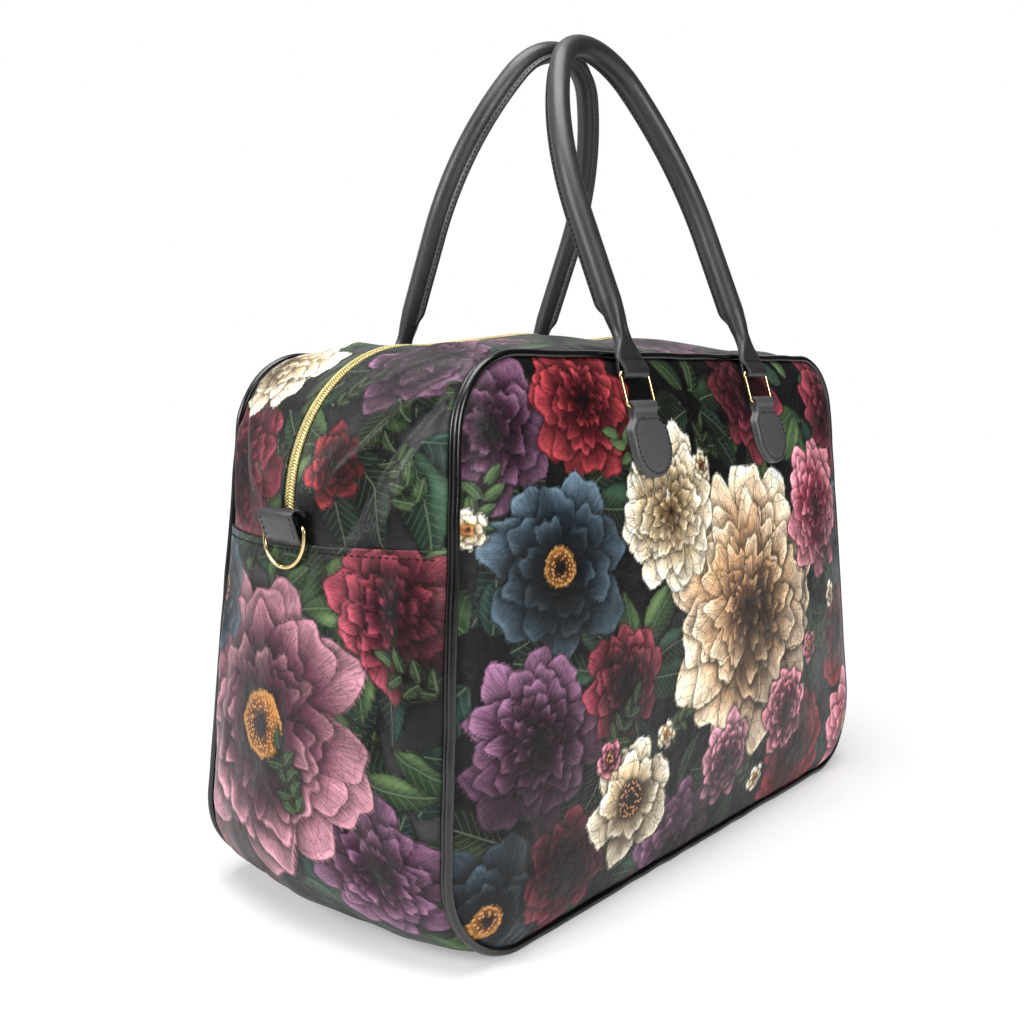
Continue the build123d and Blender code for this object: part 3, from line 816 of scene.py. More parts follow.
def printed_cloth():
    """Polyester satin, calendered and heat-transfer printed: a soft grey sheen over dark ink."""
    material, tree = new_material("coated_printed_polyester_satin")
    ink = add(tree, "Attribute", attribute_name="ink")
    lines = add(tree, "Attribute", attribute_name="lines").outputs["Vector"]
    grain = add(tree, "Attribute", attribute_name="grain").outputs["Vector"]
    mark = add(tree, "Attribute", attribute_name="marks")
    flat = add(tree, "Attribute", attribute_name="flat").outputs["Vector"]
    craze, streak, vein = add(tree, "SeparateColor", {0: mark}).outputs
    stamen = mark.outputs["Alpha"]

    # Petal outlines: a fine dark line where a signed distance is zero
    signs = add(tree, "VectorMath", {0: lines}, operation="ABSOLUTE")
    first, second, third = add(tree, "SeparateXYZ", {0: signs}).outputs
    nearest = add(tree, "Math", {0: first, 1: second}, operation="MINIMUM")
    nearest = add(tree, "Math", {0: nearest, 1: third}, operation="MINIMUM")
    outline = add(tree, "MapRange", {"Value": nearest, 1: 0.1, 2: 0.9, 3: 0.35, 4: 1.0})

    # Streaks that run along a petal, 0.8 mm across and 9 mm long
    stretch = (1 / 0.8, 1 / 9, 1.0)
    stretched = add(tree, "VectorMath", {0: grain, 1: stretch}, operation="MULTIPLY")
    fibre = add(tree, "TexNoise", {"Vector": stretched, "Scale": 1.0, "Detail": 3.0})
    fibres = add(tree, "MapRange", {"Value": fibre, 1: 0.32, 2: 0.68, 3: -0.38, 4: 0.38})
    fibres = add(tree, "Math", {0: fibres, 1: streak, 2: 1.0}, operation="MULTIPLY_ADD")
    inked = add(tree, "Math", {0: outline, 1: fibres}, operation="MULTIPLY")

    # Leaf veins: chevrons 4.5 mm apart and the midrib
    across, along, _ = add(tree, "SeparateXYZ", {0: grain}).outputs
    across = add(tree, "Math", {0: across}, operation="ABSOLUTE")
    slant = add(tree, "Math", {0: across, 1: -0.9, 2: along}, operation="MULTIPLY_ADD")
    wave = add(tree, "Math", {0: slant, 1: 2.25}, operation="PINGPONG")
    chevron = add(tree, "MapRange", {"Value": wave, 1: 0.0, 2: 0.6, 3: 0.5, 4: 0.0})
    midrib = add(tree, "MapRange", {"Value": across, 1: 0.15, 2: 0.8, 3: 1.0, 4: 0.0})
    ribs = add(tree, "Math", {0: chevron, 1: midrib}, operation="MAXIMUM")
    ribs = add(tree, "Math", {0: ribs, 1: vein}, operation="MULTIPLY")
    ribs = add(tree, "Math", {0: ribs, 1: 0.22}, operation="MULTIPLY")

    # Stamens: dots 2 mm across
    dots = add(tree, "TexVoronoi", {"Vector": flat, "Scale": 1 / 2.7}, voronoi_dimensions="2D")
    dot = add(tree, "MapRange", {"Value": dots, 1: 0.2, 2: 0.36, 3: 0.85, 4: 0.0})
    dot = add(tree, "Math", {0: dot, 1: stamen}, operation="MULTIPLY")

    # Crackle of an old varnish: bent cells of 10 mm with finer ones of 4 mm in places
    warp = add(tree, "TexNoise", {"Vector": flat, "Scale": 0.14, "Detail": 3.0})
    bent = add(
        tree, "VectorMath", {0: warp.outputs["Color"], 1: (7.0, 7.0, 0.0), 2: flat},
        operation="MULTIPLY_ADD",
    )
    coarse = add(
        tree, "TexVoronoi", {"Vector": bent, "Scale": 1 / 10.0},
        feature="DISTANCE_TO_EDGE", voronoi_dimensions="2D",
    )
    fine = add(
        tree, "TexVoronoi", {"Vector": bent, "Scale": 1 / 4.2},
        feature="DISTANCE_TO_EDGE", voronoi_dimensions="2D",
    )
    coarse = add(tree, "MapRange", {"Value": coarse, 1: 0.01, 2: 0.05, 3: 0.95, 4: 0.0})
    fine = add(tree, "MapRange", {"Value": fine, 1: 0.01, 2: 0.07, 3: 0.75, 4: 0.0})
    patch = add(tree, "TexNoise", {"Vector": flat, "Scale": 0.035, "Detail": 3.0})
    dense = add(tree, "MapRange", {"Value": patch, 1: 0.42, 2: 0.62, 3: 0.0, 4: 1.0})
    fine = add(tree, "Math", {0: fine, 1: dense}, operation="MULTIPLY")
    cracks = add(tree, "Math", {0: coarse, 1: fine}, operation="MAXIMUM")
    sparse = add(tree, "MapRange", {"Value": patch, 1: 0.3, 2: 0.55, 3: 0.45, 4: 1.0})
    cracks = add(tree, "Math", {0: cracks, 1: sparse}, operation="MULTIPLY")
    cracks = add(tree, "Math", {0: cracks, 1: craze}, operation="MULTIPLY", use_clamp=True)
    cracks = add(tree, "Math", {0: cracks, 1: 0.82}, operation="MULTIPLY")

    # Where the film has rubbed thin the ground shows as pale flecks 1 mm across
    fleck = add(tree, "TexNoise", {
        "Vector": flat, "Scale": 0.55, "Detail": 4.0, "Roughness": 0.7,
    })
    fleck = add(tree, "MapRange", {"Value": fleck, 1: 0.6, 2: 0.74, 3: 0.0, 4: 0.5})
    rubbed = add(tree, "TexNoise", {"Vector": flat, "Scale": 0.023, "Detail": 3.0})
    rubbed = add(tree, "MapRange", {"Value": rubbed, 1: 0.52, 2: 0.66, 3: 0.0, 4: 1.0})
    fleck = add(tree, "Math", {0: fleck, 1: rubbed}, operation="MULTIPLY")

    shade = add(tree, "VectorMath", {0: ink, "Scale": inked}, operation="SCALE")
    shade = add(tree, "Mix", {0: ribs, 6: shade, 7: colour("#93a37f")}, data_type="RGBA")
    shade = add(tree, "Mix", {0: dot, 6: shade, 7: colour("#c98f5f")}, data_type="RGBA")
    shade = add(tree, "Mix", {0: fleck, 6: shade, 7: colour("#8d8983")}, data_type="RGBA")
    grime = add(tree, "TexNoise", {"Vector": flat, "Scale": 0.02, "Detail": 5.0})
    grime = add(tree, "MapRange", {"Value": grime, 1: 0.3, 2: 0.7, 3: 0.72, 4: 1.2})
    shade = add(tree, "VectorMath", {0: shade, "Scale": grime}, operation="SCALE")
    shade = add(tree, "Mix", {0: cracks, 6: shade, 7: colour("#120c09")}, data_type="RGBA")

    # Satin weave, drawn at 0.7 mm because its 0.2 mm threads are too fine to show
    weave = add(tree, "TexNoise", {"Vector": flat, "Scale": 1 / 0.7, "Detail": 2.0})
    rumple = add(tree, "TexNoise", {
        "Vector": flat, "Scale": 0.05, "Detail": 4.0, "Roughness": 0.55,
    })
    bump = add(tree, "Bump", {"Height": rumple, "Distance": 3.0 * MM, "Strength": 0.6})
    bump = add(tree, "Bump", {
        "Height": weave, "Distance": 0.07 * MM, "Strength": 0.5, "Normal": bump,
    })
    gloss = add(tree, "MapRange", {"Value": patch, 1: 0.3, 2: 0.7, 3: 0.36, 4: 0.5})
    shader = add(tree, "BsdfPrincipled", {
        "Base Color": shade, "Roughness": gloss, "IOR": 1.5, "Specular IOR Level": 0.22,
        "Sheen Weight": 0.02, "Sheen Roughness": 0.4, "Normal": bump,
    })
    add(tree, "OutputMaterial", {"Surface": shader})
    return material


def leatherette(name, base, roughness, grain_mm, depth_mm, coat=0.06, rubbed="#4a494a"):
    """PVC-coated cloth, embossed with a fine hide grain and rubbed a little paler in random patches."""
    material, tree = new_material(name)
    place = add(tree, "TexCoord").outputs["Object"]
    cells = add(
        tree, "TexVoronoi", {"Vector": place, "Scale": 1000 / grain_mm},
        feature="DISTANCE_TO_EDGE",
    )
    pebble = add(tree, "MapRange", {"Value": cells, 1: 0.0, 2: 0.25, 3: 0.0, 4: 1.0})
    worn = add(tree, "TexNoise", {"Vector": place, "Scale": 38.0, "Detail": 5.0})
    wear = add(tree, "MapRange", {"Value": worn, 1: 0.42, 2: 0.75, 3: 0.0, 4: 0.25})
    shade = add(tree, "Mix", {0: wear, 6: base, 7: colour(rubbed)}, data_type="RGBA")
    gloss = add(tree, "MapRange", {
        "Value": worn, 1: 0.3, 2: 0.7, 3: roughness - 0.05, 4: roughness + 0.08,
    })
    bump = add(tree, "Bump", {"Height": worn, "Distance": 0.5 * MM, "Strength": 0.25})
    bump = add(tree, "Bump", {
        "Height": pebble, "Distance": depth_mm * MM, "Strength": 0.7, "Normal": bump,
    })
    shader = add(tree, "BsdfPrincipled", {
        "Base Color": shade, "Roughness": gloss, "IOR": 1.5,
        "Coat Weight": coat, "Coat Roughness": 0.14, "Normal": bump,
    })
    add(tree, "OutputMaterial", {"Surface": shader})
    return material


def gold_metal(name, base, roughness, metallic=1.0):
    """Steel or nylon plated pale gold: bright, with a soft brushed haze and duller lows."""
    material, tree = new_material(name)
    place = add(tree, "TexCoord").outputs["Object"]
    cloud = add(tree, "TexNoise", {"Vector": place, "Scale": 240.0, "Detail": 4.0})
    dull = add(tree, "MapRange", {"Value": cloud, 1: 0.35, 2: 0.75, 3: 0.0, 4: 0.35})
    shade = add(tree, "Mix", {0: dull, 6: base, 7: colour("#8a6a35")}, data_type="RGBA")
    gloss = add(tree, "MapRange", {
        "Value": cloud, 1: 0.3, 2: 0.7, 3: roughness - 0.04, 4: roughness + 0.1,
    })
    shader = add(tree, "BsdfPrincipled", {
        "Base Color": shade, "Roughness": gloss, "Metallic": metallic,
    })
    add(tree, "OutputMaterial", {"Surface": shader})
    return material


def woven_tape(name, base):
    """Woven polyester tape: dull black, with a twill of 0.6 mm ribs."""
    material, tree = new_material(name)
    place = add(tree, "TexCoord").outputs["Object"]
    ribs = add(
        tree, "TexWave", {"Vector": place, "Scale": 520.0, "Distortion": 1.0, "Detail": 1.0},
        bands_direction="DIAGONAL",
    ).outputs["Fac"]
    lift = add(tree, "MapRange", {"Value": ribs, 3: 0.0, 4: 0.5})
    shade = add(tree, "Mix", {0: lift, 6: base, 7: colour("#2a292b")}, data_type="RGBA")
    bump = add(tree, "Bump", {"Height": ribs, "Distance": 0.15 * MM, "Strength": 0.6})
    shader = add(tree, "BsdfPrincipled", {
        "Base Color": shade, "Roughness": 0.8, "Sheen Weight": 0.15, "Sheen Roughness": 0.6,
        "Normal": bump,
    })
    add(tree, "OutputMaterial", {"Surface": shader})
    return material


def thread(name, base):
    """Twisted polyester sewing thread: black, nearly matt, with plies 0.5 mm apart."""
    material, tree = new_material(name)
    place = add(tree, "TexCoord").outputs["Object"]
    plies = add(
        tree, "TexWave", {"Vector": place, "Scale": 600.0, "Distortion": 2.0},
        bands_direction="DIAGONAL",
    ).outputs["Fac"]
    lift = add(tree, "MapRange", {"Value": plies, 3: 0.0, 4: 0.5})
    shade = add(tree, "Mix", {0: lift, 6: base, 7: colour("#121112")}, data_type="RGBA")
    bump = add(tree, "Bump", {"Height": plies, "Distance": 0.1 * MM, "Strength": 0.5})
    shader = add(tree, "BsdfPrincipled", {
        "Base Color": shade, "Roughness": 0.6, "Specular IOR Level": 0.2, "Normal": bump,
    })
    add(tree, "OutputMaterial", {"Surface": shader})
    return material


def white_paper(base):
    """Matt white paper: it keeps the object's shadow and fades to plain white far away."""
    material, tree = new_material("matt_white_paper")
    place = add(tree, "TexCoord").outputs["Object"]
    fibre = add(tree, "TexNoise", {"Vector": place, "Scale": 900.0, "Detail": 2.0})
    bump = add(tree, "Bump", {"Height": fibre, "Distance": 0.05 * MM, "Strength": 0.2})
    sheet = add(tree, "BsdfPrincipled", {"Base Color": base, "Roughness": 0.9, "Normal": bump})
    far = add(tree, "VectorMath", {0: place}, operation="LENGTH")
    fade = add(
        tree, "MapRange", {"Value": far, 1: 0.4, 2: 1.1, 3: 0.3, 4: 1.0},
        interpolation_type="SMOOTHSTEP",
    )
    seen = add(tree, "LightPath").outputs["Is Camera Ray"]
    lift = add(tree, "Math", {0: fade, 1: seen}, operation="MULTIPLY")
    glow = add(tree, "Emission", {"Color": (1, 1, 1, 1), "Strength": 1.08})
    mixed = add(tree, "MixShader", {0: lift, 1: sheet, 2: glow})
    add(tree, "OutputMaterial", {"Surface": mixed})
    return material


FINISHES = {
    "cloth": lambda looks: printed_cloth(),
    "piping": lambda looks: leatherette(
        "smooth_black_pvc_piping", (*looks.piping, 1), 0.21, 0.9, 0.02, coat=0.12, rubbed="#0e0e0f",
    ),
    # The chapes' copy of the black leatherette is lighter than the handles' copy: painted sheen.
    "leatherette": lambda looks: leatherette(
        "black_pvc_leatherette_lightened_as_sheen", (*looks.leatherette, 1), 0.42, 0.8, 0.05,
    ),
    # The handles' and end loops' copy of the same leatherette is darker, its rubbed colour too: painted
    # shade.
    "rolled": lambda looks: leatherette(
        "black_pvc_leatherette_darkened_as_shade", (*looks.rolled, 1), 0.36, 0.8, 0.05, rubbed="#2c2b2c",
    ),
    "wire": lambda looks: gold_metal("gold_plated_steel_wire", (*looks.gold, 1), 0.18),
    "coil": lambda looks: gold_metal("metallised_nylon_zip_coil", (*looks.coil, 1), 0.36, 0.8),
    "tape": lambda looks: woven_tape("woven_black_polyester_tape", (*looks.tape, 1)),
    "thread": lambda looks: thread("black_polyester_thread", (*looks.thread, 1)),
    "paper": lambda looks: white_paper((*looks.paper, 1)),
}
made_finishes = {}


def finish_of(key):
    """The material of a finish, made once, in the scene's colours."""
    if key not in made_finishes:
        made_finishes[key] = FINISHES[key](bpy.context.scene.bag_looks)
    return made_finishes[key]


# Panels


def panel_piece(name, node, art, spacing, back=False):
    """One stuffed panel on a grid of cloth points, cut to the outline under its piping."""
    half_low = BOTTOM_WIDTH / 2 + spacing
    columns = int(2 * half_low / spacing)
    rows = int((BAG_HEIGHT + 2 * spacing) / spacing)
    u = np.linspace(-half_low, half_low, columns)
    v = np.linspace(-spacing, BAG_HEIGHT + spacing, rows)
    u, v = np.meshgrid(u, v)
    inset = inset_of(u, v)
    step = 0.05
    slope_u = (inset_of(u + step, v) - inset_of(u - step, v)) / (2 * step)
    slope_v = (inset_of(u, v + step) - inset_of(u, v - step)) / (2 * step)
    outside = np.minimum(inset, 0)
    u = u - outside * slope_u
    v = v - outside * slope_v
    level = panel_level(u, v) + panel_folds(u, v, np.maximum(inset, 0), 5 if back else 3)
    bm = warped_grid(front_point(u, v, level))
    keep = (inset > -spacing).ravel()
    number = bm.verts.layers.int.new("number")
    bm.verts.index_update()
    for vert in bm.verts:
        vert[number] = vert.index
    doomed = [face for face in bm.faces if not any(keep[vert.index] for vert in face.verts)]
    bmesh.ops.delete(bm, geom=doomed, context="FACES")
    kept = np.array([vert[number] for vert in bm.verts])
    bm.verts.layers.int.remove(number)
    piece = finished(name, bm, finish_of("cloth"), "bag", (node,), back)
    picture = art(u.ravel()[kept], v.ravel()[kept])
    flat = np.stack([u.ravel()[kept], v.ravel()[kept], 0 * kept], axis=-1)
    picture.written(piece.data, flat)
    return piece


def panel_folds(u, v, inset, seed):
    """Puckers along the piping and slow waves over the whole panel, in millimetres."""
    around = np.arctan2(v - BAG_HEIGHT / 2, u) * 180
    pucker = noise(seed, around, inset, 7, 60) * 0.55 * np.exp(-inset / 14)
    wave = noise(seed + 20, u, v, 75) * 1.5 * smooth(8, 50, inset)
    small = noise(seed + 30, u, v, 24) * 0.35 * smooth(5, 30, inset)
    return pucker + wave + small


# Gussets


# Slack folds: from and to (up from the lap, across to the back), width and height
UPPER_SLACK = (
    ((96, -88), (20, -22), 8, 3.6), ((84, -92), (2, -42), 6, -3.0),
    ((56, -96), (-4, -62), 7, 2.8), ((128, -84), (70, -26), 11, 2.6),
    ((112, -92), (48, -44), 6, -2.4), ((150, -30), (176, -92), 12, 2.5),
    ((60, 90), (10, 30), 10, 2.6), ((120, 88), (70, 24), 12, 2.4),
)
LOWER_SLACK = (
    ((-20, -80), (-130, -86), 7, 3.4), ((-10, -66), (-110, -70), 5, -2.4),
    ((-90, -60), (-170, -92), 9, 3.0), ((-120, -40), (-190, -70), 8, -2.2),
    ((-30, 84), (-120, 90), 8, 2.8), ((-60, 60), (-150, 80), 9, 2.0),
    ((-8, -20), (-60, -30), 14, 1.6), ((-6, 40), (-50, 30), 12, 1.6),
)


def gusset_tuck(t):
    """How the gusset's cloth dives into the seam behind the piping."""
    behind_seam = (0.945 - np.abs(t)) * HALF_DEPTH
    return -5.0 * np.exp(-np.maximum(behind_seam, 0) / 2.6) - 0.6 * np.maximum(-behind_seam, 0)


def all_folds(s, t, seed, waves, slack):
    """Waves that die out towards the piping, the puckers along it, and slack folds."""
    pucker = noise(seed + 9, s, t, 6.5, 3.0) * 0.7 * np.exp(-(0.94 - np.abs(t)) * HALF_DEPTH / 12)
    return waves * (1 - smooth(0.8, 0.95, np.abs(t))) + pucker + slack


def upper_folds(s, t, seed):
    """Soft folds of the upper gusset: slack slants by the front piping and waves over the top."""
    y = t * HALF_DEPTH
    waves = noise(seed, s, y, 46, 60) * 1.4 + noise(seed + 7, s, y, 15, 26) * 0.4
    up = mirrored_over_top(s) - LAP_S
    slack = sum(ridge(up, y, *fold) for fold in UPPER_SLACK)
    return all_folds(s, t, seed, waves, slack * (1 - smooth(0.86, 0.97, np.abs(t))))


def lower_folds(s, t, seed):
    """Folds of the lower gusset, standing upright by the front piping; none under the bag."""
    y = t * HALF_DEPTH
    waves = noise(seed, s, y, 60, 40) * 1.5 + noise(seed + 7, s, y, 30, 12) * 0.5
    slack = sum(ridge(np.abs(s) - LAP_S, y * np.sign(s), *fold) for fold in LOWER_SLACK)
    folds = all_folds(s, t, seed, waves, slack * (1 - smooth(0.88, 0.98, np.abs(t))))
    standing = smooth(REFERENCE_RUNS[0] - 40, REFERENCE_RUNS[0] + 40, np.abs(s))
    return folds * standing - (1 - standing) * 0.2


ZIP_MOUTH = 6.3
LAP_S = height_length(LAP_HEIGHT)
ZIP_S = height_length(ZIP_END_HEIGHT)
LAP_SEAM = 3.6


def printed_gusset(name, bm, node, s, t, seed, back=False):
    """Finishes a gusset's cloth and prints it, on lengths round the bag and across it."""
    piece = finished(name, bm, finish_of("cloth"), "bag", (node,), back)
    y = t * HALF_DEPTH
    flat = np.stack([s.ravel(), y.ravel(), 0 * s.ravel()], axis=-1)
    gusset_print(s, y, seed).written(piece.data, flat)


def upper_gusset_piece(name, node, seed, back=False):
    """One strip of the upper gusset, its edge folded under beside the zip."""
    s = np.arange(LAP_S - 10, 2 * HALF_LOOP - LAP_S + 10, 1.5)
    flat_across = np.linspace(-0.99, -ZIP_MOUTH / HALF_DEPTH, 72)
    roll_t = -ZIP_MOUTH / HALF_DEPTH + np.array([0.45, 0.5, 0.0, -2.0, -5.0]) / HALF_DEPTH
    roll_out = np.array([-0.4, -1.0, -1.45, -1.5, -1.5])
    across = np.concatenate([flat_across, roll_t])
    out = np.concatenate([0 * flat_across, roll_out])
    drop = lap_lengths(across) - LAP_S
    t, s = np.meshgrid(across, s)
    fold = upper_folds(s, t, seed) * smooth(-0.08, -0.2, t)
    hem = 0.5 * np.exp(-(((t + (ZIP_MOUTH + 1.2) / HALF_DEPTH) * HALF_DEPTH / 1.5) ** 2))
    level = out[None, :] + np.where(out[None, :] == 0, gusset_tuck(t) + fold + hem, 0)
    rise = mirrored_over_top(s)
    under = smooth(LAP_S + 4, LAP_S, rise)
    level = level * (1 - under) + np.minimum(level, -0.1) * under
    moved = rise + drop[None, :] * (1 - smooth(LAP_S + 20, LAP_S + 150, rise))
    points = skin(np.where(s > HALF_LOOP, 2 * HALF_LOOP - moved, moved), t, level)
    printed_gusset(name, warped_grid(points), node, s, t, seed, back)


def lower_gusset_piece(seed):
    """The band under the bag and up both ends, its upper edges folded under over the lap."""
    fine = np.arange(REFERENCE_RUNS[0], LAP_S - 0.5, 1.55)
    under = np.linspace(-REFERENCE_RUNS[0], REFERENCE_RUNS[0], 110)[1:-1]
    edge = np.array([LAP_S, LAP_S + 0.4, LAP_S + 0.2, LAP_S - 1.0, LAP_S - 3.0])
    edge_out = np.array([0.0, -0.5, -1.0, -1.3, -1.35])
    left = np.concatenate([fine, edge])
    outs = np.concatenate([fine * 0, edge_out])
    s = np.concatenate([-left[::-1], under, left])
    out = np.concatenate([outs[::-1], under * 0, outs])
    across = np.linspace(-0.99, 0.99, 134)
    drop = lap_lengths(across) - LAP_S
    t, s = np.meshgrid(across, s)
    out = np.broadcast_to(out[:, None], t.shape)
    fold = lower_folds(s, t, seed) * (1 - smooth(LAP_S - 16, LAP_S - 5, np.abs(s)))
    sewn = -0.45 * np.exp(-(((np.abs(s) - LAP_S + LAP_SEAM) / 1.4) ** 2))
    level = CLOTH + out + np.where(out == 0, gusset_tuck(t) + fold + sewn, gusset_tuck(t))
    moved = s + np.sign(s) * drop[None, :] * smooth(REFERENCE_RUNS[0] + 60, LAP_S - 40, np.abs(s))
    points = skin(moved, t, level)
    points[..., 2] = np.maximum(points[..., 2], 0.05)
    printed_gusset("lower_gusset_cloth", warped_grid(points), "lower_gusset", s, t, seed)


def lap_stitching():
    """The row of stitches under each folded edge of the lower gusset."""
    t = np.linspace(-0.925, 0.925, 160)
    seams = bmesh.new()
    for side in (1, -1):
        s = side * (lap_lengths(t) - LAP_SEAM)
        line = skin(s, t, CLOTH - 0.25)
        out = skin(s, t, CLOTH + 1) - skin(s, t, CLOTH)
        stitched(seams, line, out, pitch=4.1, length=3.1, width=0.95, height=0.8)
    finished("lower_gusset_stitching", seams, finish_of("thread"), "bag")


# Piping


# The second ridge: its radius, and how far inside and behind the first it lies
BACK_CORD = 2.0
BACK_CORD_PLACE = (1.0, -4.3)


def piping_piece(name, node, back=False):
    """Two corded ridges side by side round a panel, with the little waves of a sewn cord."""
    s = np.linspace(0, 2 * PIPING_HALF, 320, endpoint=False)
    u, v = loop_point(s, PIPING_SIZES, PIPING_RUNS)
    ahead_u, ahead_v = loop_point(s + 0.5, PIPING_SIZES, PIPING_RUNS)
    du, dv = ahead_u - u, ahead_v - v
    size = np.hypot(du, dv)
    origin = front_point(0, 0, 0)
    across = front_point(dv / size, -du / size, 0) - origin
    middle = front_point(0, BAG_HEIGHT / 2, 0) - front_point(u, v, 0)
    across *= np.sign(np.sum(across * middle, axis=1))[:, None]
    out = np.broadcast_to(front_point(0, 0, 1) - origin, across.shape)
    wave = bpy.context.scene.bag_sizes.piping_wave / MM * (1.2 + noise(71 + back, s, 0 * s, 16))
    path = front_point(u, v, 0) + across * wave[:, None]
    bm = swept(path, across, out, circle(PIPING, 18), closed=True)
    section = circle(BACK_CORD, 14) + np.array(BACK_CORD_PLACE)
    joined(bm, swept(path, across, out, section, closed=True))
    # The seam allowance that both ridges are sewn to, inside the bag
    web = np.array([(1.0, -1.5), (8.0, -2.2), (8.0, -4.6), (1.0, -5.0)])
    joined(bm, swept(path, across, out, web, closed=True))
    finished(name, bm, finish_of("piping"), "bag", (node,), back)


# Zip


COIL_TURN = (4.3, 1.25, 2.3)


def zip_line(s, out):
    """Points, directions ahead and normals along the middle of the gusset."""
    points = skin(s, 0 * s, out)
    ahead = unit(skin(s + 0.5, 0 * s, out) - skin(s - 0.5, 0 * s, out))
    return points, ahead, unit(skin(s, 0 * s, 1.0) - skin(s, 0 * s, 0.0))


def coil_piece(name, node, back=False):
    """One row of coil turns, each slanted towards the middle so that both rows make chevrons."""
    pitch = bpy.context.scene.bag_sizes.coil_pitch / MM
    count = int((2 * HALF_LOOP - 2 * ZIP_S) / pitch)
    s = ZIP_S + 0.6 + (np.arange(count) + 0.5 * back) * pitch
    points, ahead, normal = zip_line(s, 0.0)
    side = np.array([0.0, 1.0 if back else -1.0, 0.0])
    turn = bmesh.new()
    bmesh.ops.create_cube(turn, size=1.0)
    bmesh.ops.bevel(
        turn, geom=[*turn.verts, *turn.edges], offset=0.34, segments=2, profile=0.5,
        affect="EDGES", material=-1,
    )
    bmesh.ops.scale(turn, verts=turn.verts, vec=[side * MM for side in COIL_TURN])
    mesh = mesh_of("turn", turn)
    bm = bmesh.new()
    places = []
    for p, a, n in zip(points, ahead, normal):
        # Each turn leans down from the middle, so that the closed zip is crowned
        places.append(place(p + side * 1.75 - n * 0.05, side - a * 0.55 - n * 0.22, n))
    repeated(bm, mesh, places)
    bpy.data.meshes.remove(mesh)
    # The cord under the turns that the coil is wound on
    s = np.arange(ZIP_S, 2 * HALF_LOOP - ZIP_S, 4.0)
    points, ahead, normal = zip_line(s, -0.6)
    sides = np.broadcast_to(side, points.shape)
    joined(bm, swept(points + sides * 1.6, sides, normal, circle(1.0, 8) * (1.5, 0.8)))
    finished(name, bm, finish_of("coil"), "bag", (node,), shade_angle=50)


def tape_piece(name, node, back=False):
    """The woven tape on one side of the coil, with a raised cord along the coil's foot."""
    s = np.arange(ZIP_S - 8, 2 * HALF_LOOP - ZIP_S + 8, 4.0)
    points, _, normal = zip_line(s, -CLOTH)
    side = np.array([0.0, 1.0 if back else -1.0, 0.0])
    sides = np.broadcast_to(side, points.shape)
    section = np.array([
        (0.15, 0.0), (3.0, 0.0), (3.3, 0.5), (3.9, 0.75), (4.5, 0.5), (4.8, 0.05), (10.0, 0.0),
        (16.0, 0.0), (16.0, -0.8), (0.15, -0.8),
    ])
    bm = swept(points, sides, normal, section)
    finished(name, bm, finish_of("tape"), "bag", (node,))


# Rings


def joint_point(name):
    """Where a joint of the frame turns, in millimetres."""
    for joint in frame["record"]["behaviour"]["joints"]:
        if joint["name"] == name:
            return np.array(joint["pos_m"]) * 1000
    raise ValueError(f"the frame has no joint {name}")


def ring_frame():
    """The front rings' lower bar, the way up to the upper bar, their span and the way out."""
    low = joint_point("front_rings_tilt")
    high = joint_point("front_handle_swing")
    span = float(np.linalg.norm(high - low))
    up = (high - low) / span
    return low, up, span, np.array([0.0, -up[2], up[1]])


def rounded_path(corners, radii, steps=7):
    """A closed outline with each corner turned in even steps, as an array of points."""
    points = []
    count = len(corners)
    for k in range(count):
        corner = Vector(corners[k])
        back = (Vector(corners[k - 1]) - corner).normalized()
        ahead = (Vector(corners[(k + 1) % count]) - corner).normalized()
        half = back.angle(ahead) / 2
        reach = radii[k] / math.tan(half)
        centre = corner + (back + ahead).normalized() * (radii[k] / math.sin(half))
        start = corner + back * reach - centre
        turn = math.pi - 2 * half
        sign = 1 if back.x * ahead.y - back.y * ahead.x < 0 else -1
        for step in range(steps + 1):
            spoke = Matrix.Rotation(sign * turn * step / steps, 2) @ start
            points.append(tuple(centre + spoke))
    return np.array(points)


RING_SPACING = 151.0
RING_INSIDE = 27.0
RING_WIRE = 2.5
RING_BEND = 3.2
D_RING_INSIDE = 31.0
D_RING_WIRE = 2.4
D_RING_DROP = 23.0


def wire_loop(points, origin, across, up, out, radius):
    """A wire bent along a closed flat outline."""
    path = origin + points[:, :1] * across + points[:, 1:] * up
    ahead = unit(np.roll(path, -1, axis=0) - np.roll(path, 1, axis=0))
    outs = np.broadcast_to(out, path.shape)
    return swept(path, np.cross(ahead, outs), outs, circle(radius, 14), closed=True)


def handle_ring_piece(where, side, back=False):
    """A rectangular wire ring that joins a handle to its chape."""
    low, up, span, out = ring_frame()
    half = (RING_INSIDE + RING_WIRE) / 2
    corners = [(-half, 0), (half, 0), (half, span), (-half, span)]
    points = rounded_path(corners, [RING_BEND] * 4)
    origin = low + np.array([side * RING_SPACING / 2, 0, 0])
    bm = wire_loop(points, origin, np.array([1.0, 0, 0]), up, out, RING_WIRE / 2)
    body = "back_rings" if back else "front_rings"
    node = f"{where}_ring"
    finished(f"{node}_wire", bm, finish_of("wire"), body, (node,), back)


END_RUN = (BOTTOM_WIDTH - TOP_WIDTH) / 2 - END_FULLNESS
END_LEAN = math.atan(END_RUN / (BAG_HEIGHT - 2 * CLOTH + TOP_CROWN))
END_UP = np.array([-math.sin(END_LEAN), 0, math.cos(END_LEAN)])
END_OUT = np.array([math.cos(END_LEAN), 0, math.sin(END_LEAN)])
LOOP_WIDTH = 29.0
LOOP_PLY = 1.6
LOOP_STITCHING = 12.2


